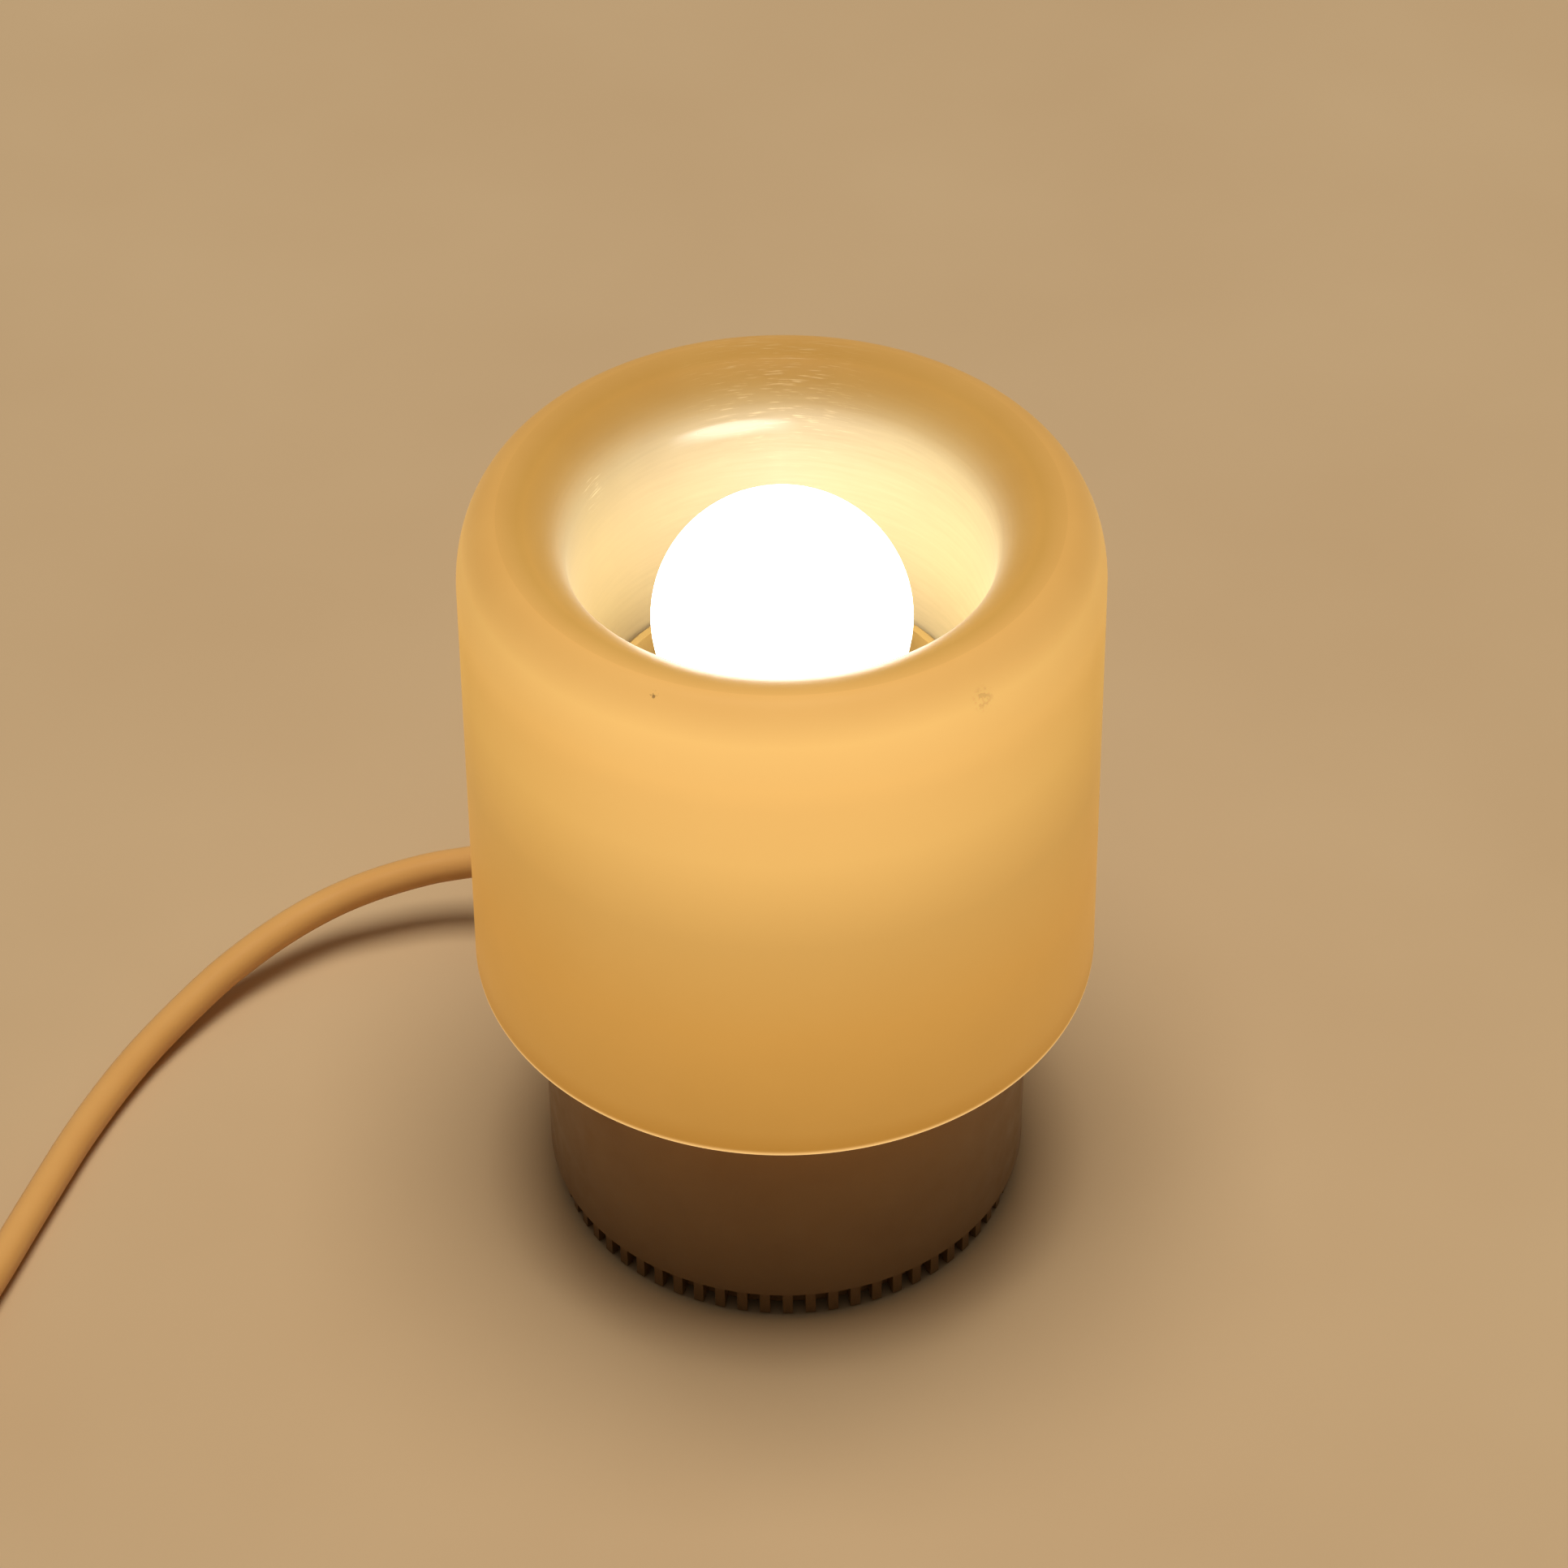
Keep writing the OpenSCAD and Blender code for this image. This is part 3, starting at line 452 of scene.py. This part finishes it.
def strip(bm, line, width, thick, closed):
    """A flat band along a line of (y, z) points, with its edges eased."""
    ease = thick * 0.3
    rings = []
    count = len(line)
    for i, (y, z) in enumerate(line):
        before = line[i - 1] if closed or i > 0 else line[i]
        after = line[(i + 1) % count] if closed or i < count - 1 else line[i]
        run = Vector((after[0] - before[0], after[1] - before[1])).normalized()
        lift = Vector((run.y, -run.x))
        half = thick / 2
        shape = [(-width / 2 + ease, -half), (width / 2 - ease, -half), (width / 2, -half + ease),
                 (width / 2, half - ease), (width / 2 - ease, half), (-width / 2 + ease, half),
                 (-width / 2, half - ease), (-width / 2, -half + ease)]
        rings.append([bm.verts.new(Vector((tie_x + x, y + lift.x * h, z + lift.y * h)) * mm)
                      for x, h in shape])
    for one, two in zip(rings, rings[1:] + (rings[:1] if closed else [])):
        bridge(bm, one, two)
    if not closed:
        bm.faces.new(rings[0])
        bm.faces.new(rings[-1])


bm = bmesh.new()
strip(bm, band_line, tie_w, tie_t, True)
loose_rise = 0.02
loose_y = tie_middle[0] + 9
loose_z = tie_high.z + tie_t / 2 + loose_rise
loose_line = [(loose_y - i, loose_z + loose_rise * i) for i in range(13)]
strip(bm, loose_line, tie_w - 1, tie_t * 0.8, False)
strap = finish_mesh("strap", bm, 35)
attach(strap, "lamp_base")
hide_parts("coil_tie")

# %% [markdown]
# Now the finishes. Every one starts from the same shader and gets its variation from object coordinates,
# so a pattern stays on its piece when the piece moves and needs no unwrapping.
# Small helpers keep the node trees short: one adds a node, one makes a soft speckle of a given size,
# one maps a number to colours, and the last three do a sum on numbers, a sum on vectors and a mix of colours.

# %% Make helpers for the finishes
def colour(red, green, blue):
    """A colour picked as 0 to 255, in the linear light that shaders work in."""
    def linear(value):
        share = value / 255
        return share / 12.92 if share <= 0.04045 else ((share + 0.055) / 1.055) ** 2.4
    return (linear(red), linear(green), linear(blue), 1.0)


def start_finish(name):
    """A new material, its node tree and its main shader."""
    material = bpy.data.materials.new(name)
    material.use_nodes = True
    return material, material.node_tree, material.node_tree.nodes["Principled BSDF"]


def plug_in(tree, target, value):
    """Link a socket to the target, or set a plain value on it."""
    if isinstance(value, bpy.types.NodeSocket):
        tree.links.new(value, target)
    else:
        target.default_value = value


def feed(tree, node, **values):
    """Fill sockets by name, with _ for a space."""
    for key, value in values.items():
        plug_in(tree, node.inputs[key.replace("_", " ")], value)


def add(tree, kind, **values):
    """Add one shader node and feed it."""
    node = tree.nodes.new("ShaderNode" + kind)
    feed(tree, node, **values)
    return node


def speckle(tree, size_mm, detail=3.0, stretch=(1, 1, 1), place=None):
    """Soft noise whose blotches are about size_mm across, longer where stretch is small."""
    place = place or add(tree, "TexCoord").outputs["Object"]
    placed = add(tree, "Mapping", Vector=place, Scale=stretch).outputs["Vector"]
    return add(tree, "TexNoise", Vector=placed, Scale=1 / (size_mm * mm), Detail=detail).outputs["Fac"]


def remap(tree, value, low, high, to_low, to_high):
    """A number moved from one range to another and held inside it."""
    node = add(tree, "MapRange", Value=value, From_Min=low, From_Max=high, To_Min=to_low, To_Max=to_high)
    return node.outputs["Result"]


def ramp(tree, value, stops):
    """A number turned into a colour by stops of (position, colour)."""
    node = add(tree, "ValToRGB", Fac=value)
    elements = node.color_ramp.elements
    elements[0].position, elements[0].color = stops[0]
    elements[1].position, elements[1].color = stops[-1]
    for position, shade in stops[1:-1]:
        elements.new(position).color = shade
    return node.outputs["Color"]


def bump(tree, height, depth_mm):
    """Fine relief from a height."""
    return add(tree, "Bump", Height=height, Distance=depth_mm * mm, Strength=1.0).outputs["Normal"]


def work_out(tree, operation, one, two=0.0):
    """One sum on two numbers, such as ADD or LESS_THAN."""
    node = add(tree, "Math")
    node.operation = operation
    plug_in(tree, node.inputs[0], one)
    plug_in(tree, node.inputs[1], two)
    return node.outputs["Value"]


def vector_sum(tree, operation, one, two, output):
    """One sum on two vectors, such as LENGTH or DISTANCE, or on a vector and a number for SCALE."""
    node = add(tree, "VectorMath")
    node.operation = operation
    plug_in(tree, node.inputs[0], one)
    plug_in(tree, node.inputs["Scale" if operation == "SCALE" else 1], two)
    return node.outputs[output]


def between(tree, share, one, two):
    """A colour that goes from one to two as the share goes from 0 to 1."""
    node = add(tree, "Mix")
    node.data_type = "RGBA"
    for socket, value in ((0, share), (6, one), (7, two)):
        plug_in(tree, node.inputs[socket], value)
    return node.outputs[2]


# %% [markdown]
# Moulded plastic is never one flat colour. It has broad, faint clouds from the flow in the mould,
# a fine texture from the tool's surface, and a gloss that shifts a little from place to place.
# One function makes all the plain plastics, with the colours, the gloss and the texture as its choices.
# The base is also painted darker towards the table: painted shade, where the lamp's shade keeps the light off
# it.
# The base, the turret and the foot are mixed darker and browner than a cream plastic: partly their own
# colour, partly painted shade for the shadow they stand in.

# %% Mix the plastics
def moulded(name, dark, light, rough, grain_mm=0.35, grain_depth=0.02, cloud_mm=18, low_shade=None):
    """Moulded plastic between two near colours, with a fine grain, and painted darker up to a height if
    asked, as painted shade.
    """
    material, tree, shader = start_finish(name)
    clouds = speckle(tree, cloud_mm, 4.0)
    grain = speckle(tree, grain_mm, 2.0)
    skin = ramp(tree, clouds, [(0.3, dark), (0.7, light)])
    # Painted shade: the colour is scaled darker from the given height down to the table.
    if low_shade:
        low_shade_top, low_shade_share = low_shade
        place = add(tree, "TexCoord").outputs["Object"]
        height = add(tree, "SeparateXYZ", Vector=place).outputs["Z"]
        skin = vector_sum(tree, "SCALE", skin, remap(tree, height, 0, low_shade_top * mm, low_shade_share, 1), "Vector")
    feed(tree, shader, Base_Color=skin,
         Roughness=remap(tree, speckle(tree, cloud_mm / 3), 0.3, 0.7, rough - 0.06, rough + 0.06),
         Normal=bump(tree, grain, grain_depth))
    return material


# Painted shade on the base: darker from 46 mm down to the table.
base_low_shade = (46, 0.42)
finishes = {
    # Partly painted shade: the base and the foot sit under the lamp's shade, and the turret sits low beside
    # the bulb, where little of its light falls.
    "ivory_plastic": moulded("ivory_plastic", colour(148, 109, 63), colour(156, 117, 69), 0.42,
                             low_shade=base_low_shade),
    "turret_plastic_shaded": moulded("turret_plastic_shaded", colour(139, 112, 60), colour(146, 119, 67), 0.42),
    "foot_plastic": moulded("foot_plastic", colour(108, 79, 45), colour(116, 86, 50), 0.5),
    "white_plastic": moulded("white_plastic", colour(196, 176, 142), colour(205, 186, 152), 0.45),
    "grey_plastic": moulded("grey_plastic", colour(150, 150, 149), colour(164, 164, 162), 0.5),
    "black_plastic": moulded("black_plastic", colour(30, 30, 31), colour(42, 42, 43), 0.45),
    "pad_rubber": moulded("pad_rubber", colour(38, 37, 36), colour(52, 51, 49), 0.8, grain_depth=0.05),
    "cord_pvc": moulded("cord_pvc", colour(214, 157, 86), colour(220, 165, 93), 0.34, 0.5, 0.015, 25),
    "brown_pvc": moulded("brown_pvc", colour(92, 56, 33), colour(108, 67, 41), 0.4),
    "blue_pvc": moulded("blue_pvc", colour(42, 84, 150), colour(54, 98, 166), 0.4),
}
print("Mixed", len(finishes), "plastics")

# %% [markdown]
# The metal pieces are small and mostly hidden: zinc-plated screws, a brass shell, a nickel-plated cap.
# Drawn and turned metal has fine lines along the way it was worked, so its noise is stretched along one axis.

# %% Plate the metals
def plated(name, dark, light, rough, stretch):
    """Worked metal with fine lines along one way."""
    material, tree, shader = start_finish(name)
    lines = speckle(tree, 0.4, 2.0, stretch)
    feed(tree, shader, Base_Color=ramp(tree, speckle(tree, 3), [(0.3, dark), (0.7, light)]), Metallic=1.0,
         Roughness=remap(tree, lines, 0.3, 0.7, rough - 0.08, rough + 0.08),
         Normal=bump(tree, lines, 0.01))
    return material


around = (1, 1, 8)
finishes["zinc_steel"] = plated("zinc_steel", colour(172, 174, 178), colour(194, 196, 200), 0.35, around)
finishes["spring_steel"] = plated("spring_steel", colour(148, 152, 158), colour(176, 180, 186), 0.3, around)
finishes["brass"] = plated("brass", colour(186, 146, 74), colour(208, 168, 92), 0.3, around)
finishes["nickel"] = plated("nickel", colour(198, 196, 192), colour(214, 212, 208), 0.22, around)
print("Plated 4 metals")

# %% [markdown]
# The shade is the heart of the lamp. Opal plastic takes the bulb's light in, scatters it
# and gives it off all over, brighter where the wall is near the bulb
# and darker towards the lower edge, which the bulb hardly reaches.
# Real scattering would be slow and grainy, so the glow is painted as emission that depends only on the place
# on the shade. A place on a turned piece is best told by its height, its radius and its way around the axis.

# %% Find places on the shade
opal, tree, shader = start_finish("opal_cream")
place = add(tree, "TexCoord").outputs["Object"]
sideways, depthways, height = add(tree, "SeparateXYZ", Vector=place).outputs
level_place = add(tree, "CombineXYZ", X=sideways, Y=depthways).outputs["Vector"]
radius = vector_sum(tree, "LENGTH", level_place, (0, 0, 0), "Value")
way_round = work_out(tree, "MULTIPLY", work_out(tree, "ARCTAN2", depthways, sideways), crest_r * mm)
turned_place = add(tree, "CombineXYZ", X=way_round, Y=radius, Z=height).outputs["Vector"]
in_throat = remap(tree, radius, throat_r * mm, (throat_r + 0.6 * roll_w) * mm, 1, 0)
print("The throat is", round(2 * throat_r, 1), "mm across, the crest", round(2 * crest_r, 1), "mm")

# %% [markdown]
# The glow is a ramp of colours. On the skirt and the shoulder it goes by height: a bright line
# at the lower edge, amber above it, and paler near the bulb.
# On the roll it goes by radius, darker inside the crest, and the throat has a glow of its own
# that goes from left to right. The bulb's own light then adds to it, because the bulb is near.

# %% Paint the glow
def up_the_skirt(z):
    """A height in millimetres as a share of the shade's height."""
    return (z - edge_z) / (crest_z - edge_z)


skirt_glow = ramp(tree, remap(tree, height, edge_z * mm, crest_z * mm, 0, 1), [
    (0.0, colour(237, 203, 139)), (up_the_skirt(60.4), colour(237, 192, 122)),
    (up_the_skirt(61.2), colour(151, 106, 36)), (up_the_skirt(66), colour(162, 118, 50)),
    (up_the_skirt(90), colour(180, 133, 61)), (up_the_skirt(112), colour(190, 147, 77)),
    (up_the_skirt(132), colour(219, 173, 97)), (up_the_skirt(149), colour(224, 176, 100)),
    (up_the_skirt(158), colour(213, 170, 100)), (1.0, colour(165, 128, 76))])
roll_glow = ramp(tree, remap(tree, radius, throat_r * mm, crest_r * mm, 0, 1), [
    (0.14, colour(112, 86, 50)), (0.35, colour(114, 85, 35)), (0.7, colour(118, 91, 38)),
    (1.0, colour(156, 121, 70))])
throat_glow = ramp(tree, remap(tree, sideways, -throat_r * mm, throat_r * mm, 0, 1), [
    (0.05, colour(86, 60, 10)), (0.5, colour(168, 150, 130)), (1.0, colour(150, 128, 84))])
in_mouth = remap(tree, radius, throat_r * mm, (throat_r + 0.1 * roll_w) * mm, 1, 0)
roll_glow = between(tree, in_mouth, roll_glow, throat_glow)
inside_crest = work_out(tree, "LESS_THAN", radius, crest_r * mm)
even_glow = between(tree, inside_crest, skirt_glow, roll_glow)
print("Painted the glow from", round(edge_z), "to", round(crest_z), "mm")

# %% [markdown]
# The glow is not quite even. Near the top the front of the shade is painted brighter and the back of the
# crest
# darker: painted light and painted shade for how the lit shade looks from the front, worked into the ramps.
# The sides of the skirt are painted a deeper amber, most of all beside the bulb, and the tint fades at the
# back:
# painted shade towards the sides.
# Faint streaks run around the throat, as the mould left them.

# %% Make the glow uneven
along_the_way = (0.06, 1, 1)
# Painted light and shade: near the top the front is painted brighter and the back of the crest darker.
painted_front_light, painted_back_shade = 0.15, -0.62
streak_level = 0.08
side_shade_amber = (0.64, 0.61, 0.42, 1.0)
untinted = (1.0, 1.0, 1.0, 1.0)

near_top = remap(tree, height, (crest_z - 20) * mm, (crest_z - 4) * mm, 0, 1)
front_to_back = remap(tree, depthways, -crest_r * mm, crest_r * mm, painted_front_light, painted_back_shade)
front_back_painted_level = work_out(tree, "MULTIPLY", near_top, front_to_back)
streaks = speckle(tree, 0.9, 3.0, along_the_way, turned_place)
throat_level = remap(tree, streaks, 0.3, 0.7, -streak_level, streak_level)
# Painted shade: the sides of the skirt are tinted a deeper amber, most of all at the bulb's height, fading
# towards the back.
beside_bulb = work_out(tree, "MULTIPLY", remap(tree, height, 70 * mm, 130 * mm, 0.22, 1),
                       remap(tree, radius, (throat_r + 0.7 * roll_w) * mm, crest_r * mm, 0, 1))
beside_bulb = work_out(tree, "MULTIPLY", beside_bulb, remap(tree, height, 143 * mm, 158 * mm, 1, 0.5))
sideness = work_out(tree, "MULTIPLY", remap(tree, depthways, -shade_r * mm, -0.3 * shade_r * mm, 0, 1),
                    remap(tree, depthways, -0.1 * shade_r * mm, 0.8 * shade_r * mm, 1, 0.4))
at_side = work_out(tree, "MULTIPLY", beside_bulb, sideness)
painted_side_shade = between(tree, at_side, untinted, side_shade_amber)
uneven = work_out(tree, "ADD", front_back_painted_level, work_out(tree, "MULTIPLY", in_throat, throat_level))
tinted_glow = vector_sum(tree, "MULTIPLY", even_glow, painted_side_shade, "Vector")
glow = vector_sum(tree, "SCALE", tinted_glow, work_out(tree, "ADD", uneven, 1.0), "Vector")
print("The back of the crest glows", round(-100 * painted_back_shade), "percent less")

# %% [markdown]
# A shade that has been used shows it. Fine scratches lie at the back of the crest and at the left
# of the throat, paler and duller than the gloss. Their pale colour is partly wear and partly painted
# highlight for the glints they catch, and the patch at the left of the throat is there for its glints alone.
# At the front are two small dark scuffs.

# %% Wear the shade
scratch_level = 0.24
# The second place, at the left of the throat, is painted highlight: pale scratches that stand in for glints.
scratch_glint_places = [((0, 43, 161.2), 20), ((-35, 18, 155), 5)]
scratch_noise = speckle(tree, 0.28, 2.0, along_the_way, turned_place)
scratches = remap(tree, scratch_noise, 0.58, 0.72, 0, scratch_level)
scratch_glint_share = 0.0
for spot, reach in scratch_glint_places:
    away = vector_sum(tree, "DISTANCE", place, Vector(spot) * mm, "Value")
    scratch_glint_share = work_out(tree, "ADD", scratch_glint_share, remap(tree, away, 0.35 * reach * mm, reach * mm, 1, 0))
scratch_glint_mask = work_out(tree, "MULTIPLY", scratches, scratch_glint_share)
scuff_places = [((-22.0, -49.4, 163.4), 0.9, 0.9), ((34.5, -45.7, 158.7), 2.6, 0.3)]
scuff_grit = remap(tree, speckle(tree, 0.9, 3.0), 0.5, 0.58, 0, 1)
scuffs = 0.0
for spot, reach, depth in scuff_places:
    away = vector_sum(tree, "DISTANCE", place, Vector(spot) * mm, "Value")
    scuffs = work_out(tree, "ADD", scuffs, remap(tree, away, 0.5 * reach * mm, reach * mm, depth, 0))
scuff_mask = work_out(tree, "MULTIPLY", scuffs, scuff_grit)
print("Wore the shade in", len(scratch_glint_places) + len(scuff_places), "places")

# %% [markdown]
# The skin is a satin amber, and the mouth has gone matt. The mouth is mixed a darker cream than the skin:
# painted shade that evens out the strong light the bulb throws there.
# One short strip at the back, where the wall turns into the roll, has stayed polished and mirrors the bulb.
# So the gloss is a map too: rough all over the mouth, and smooth only inside the strip.

# %% Polish the strip and finish the shade
strip_at = math.radians(104)
matt, polished = 0.72, 0.05
mouth_satin, skin_satin = 0.34, 0.42
scratch_dulling = 0.25
scuff_shadow = 0.45
clouds = speckle(tree, 22, 4.0)
amber = ramp(tree, clouds, [(0.3, colour(179, 131, 61)), (0.7, colour(185, 138, 68))])
# Painted shade: the mouth's cream is darker to even out the bulb's strong light.
throat_cream_shaded = ramp(tree, clouds, [(0.3, colour(116, 99, 61)), (0.7, colour(121, 105, 66))])
skin = between(tree, in_throat, amber, throat_cream_shaded)
# The pale scratch colour is partly wear and partly painted highlight.
scratch_glint_skin = between(tree, scratch_glint_mask, skin, colour(240, 214, 164))
worn_glow = vector_sum(tree, "SCALE", glow, remap(tree, scuff_mask, 0, 1, 1, scuff_shadow), "Vector")

strip_foot = remap(tree, height, (throat_z - 1.8) * mm, (throat_z + 0.8) * mm, 0, 1)
strip_top = remap(tree, height, (throat_z + 1.3) * mm, (throat_z + 2.2) * mm, 1, 0)
strip_way = work_out(tree, "ABSOLUTE", work_out(tree, "SUBTRACT", way_round, strip_at * crest_r * mm))
strip_ends = remap(tree, strip_way, 3 * mm, 17 * mm, 1, 0)
polish = work_out(tree, "MULTIPLY", work_out(tree, "MULTIPLY", strip_foot, strip_top), strip_ends)
mouth_gloss = remap(tree, polish, 0, 0.9, matt, polished)
skin_gloss = remap(tree, radius, (throat_r + 0.3 * roll_w) * mm, crest_r * mm, mouth_satin, skin_satin)
worn_gloss = work_out(tree, "ADD", skin_gloss, remap(tree, scratch_glint_mask, 0, 1, 0, scratch_dulling))
gloss = remap(tree, in_throat, 0, 1, worn_gloss, mouth_gloss)
feed(tree, shader, Base_Color=between(tree, scuff_mask, scratch_glint_skin, colour(84, 58, 28)), Roughness=gloss,
     Normal=bump(tree, scratch_glint_mask, -0.02), IOR=1.6,
     Emission_Color=worn_glow, Emission_Strength=1.0)
finishes["opal_cream"] = opal
print("Finished the shade with a polished strip at", round(math.degrees(strip_at)), "degrees")

# %% [markdown]
# The bulb itself is so bright that it shows as plain white. It is a light as well as a thing to see:
# its emission lights the inside of the throat and puts a bright streak on the polished strip.

# %% Light the bulb
bulb, tree, shader = start_finish("bulb_opal")
frost = speckle(tree, 6, 3.0)
feed(tree, shader, Base_Color=ramp(tree, frost, [(0.3, colour(250, 246, 238)), (0.7, colour(253, 250, 244))]),
     Emission_Color=ramp(tree, frost, [(0.3, colour(255, 250, 240)), (0.7, colour(255, 253, 247))]),
     Emission_Strength=8.5, Roughness=0.25)
finishes["bulb_opal"] = bulb
print("Lit the bulb")

# %% Give every piece its finish
for part in frame["record"]["subparts"]:
    node = nodes[part["node"]]
    finish = "turret_plastic_shaded" if part["node"] == "turret" else part["material_slot"]
    node.data.materials.clear()
    node.data.materials.append(finishes[finish])
dressed = [(mains_cord, "cord_pvc"), (opal_shade, "opal_cream"), (glass_globe, "bulb_opal"),
           (wound_springs, "spring_steel"), (moulded_plug, "cord_pvc"), (strap, "black_plastic")]
for piece, slot in dressed:
    piece.data.materials.append(finishes[slot])

# %% [markdown]
# The lamp stands on a plain pale floor that runs out to the horizon.
# A single large sheet is enough, with a breath of unevenness so that it reads as a surface.

# %% Lay the floor
floor_half = 12.0
floor_mesh = bpy.data.meshes.new("floor")
floor_corners = [(-floor_half, -floor_half, 0), (floor_half, -floor_half, 0),
                 (floor_half, floor_half, 0), (-floor_half, floor_half, 0)]
floor_mesh.from_pydata(floor_corners, [], [(0, 1, 2, 3)])
floor = bpy.data.objects.new("floor", floor_mesh)
scene.collection.objects.link(floor)
floor_finish, tree, shader = start_finish("pale_floor")
floor_tone = ramp(tree, speckle(tree, 120, 3.0), [(0.3, colour(198, 166, 124)), (0.7, colour(203, 172, 130))])
feed(tree, shader, Base_Color=floor_tone, Roughness=0.7)
floor_mesh.materials.append(floor_finish)
print("Laid a floor of", round(2 * floor_half), "m")

# %% [markdown]
# The light is soft studio light: one wide panel right above the lamp, and a dome that is brightest overhead,
# so that the shade throws a soft shadow around the base.
# The panel hangs high, so that the floor is lit evenly a long way out.
# The levels are set so that a colour shows about as it was mixed.
# The panel is hidden from reflections, which would draw a square on the gloss.
# The eye and the gloss see a plain backdrop instead of the dome.

# %% Hang the lights
def panel(name, place, aim, size, power):
    """A square soft light at place, turned towards aim."""
    light = bpy.data.lights.new(name, "AREA")
    light.size = size
    light.energy = power
    lamp = bpy.data.objects.new(name, light)
    lamp.location = place
    lamp.rotation_euler = (Vector(aim) - Vector(place)).to_track_quat("-Z", "Y").to_euler()
    lamp.visible_glossy = False
    scene.collection.objects.link(lamp)


lamp_middle = (0, 0, 0.09)
panel_place = (0, 0, 3.6)
panel_size = 1.8
panel_watts = 106
dome_low, dome_high = 0.02, 0.18
panel("key_panel", panel_place, lamp_middle, panel_size, panel_watts)
world = bpy.data.worlds.new("sky")
world.use_nodes = True
sky_tree = world.node_tree
sky = sky_tree.nodes["Background"]
above = add(sky_tree, "SeparateXYZ", Vector=add(sky_tree, "TexCoord").outputs["Generated"]).outputs["Z"]
feed(sky_tree, sky, Color=colour(250, 246, 238),
     Strength=remap(sky_tree, above, 0, 1, dome_low, dome_high))
rays = add(sky_tree, "LightPath").outputs
mirrored = work_out(sky_tree, "MAXIMUM", rays["Is Glossy Ray"], rays["Is Transmission Ray"])
backdrop = add(sky_tree, "Background", Color=colour(166, 142, 110))
choice = add(sky_tree, "MixShader", Fac=work_out(sky_tree, "MAXIMUM", rays["Is Camera Ray"], mirrored))
sky_tree.links.new(sky.outputs["Background"], choice.inputs[1])
sky_tree.links.new(backdrop.outputs["Background"], choice.inputs[2])
sky_tree.links.new(choice.outputs["Shader"], sky_tree.nodes["World Output"].inputs["Surface"])
scene.world = world
scene.view_settings.view_transform = "Standard"
print("Hung a panel under a soft dome")
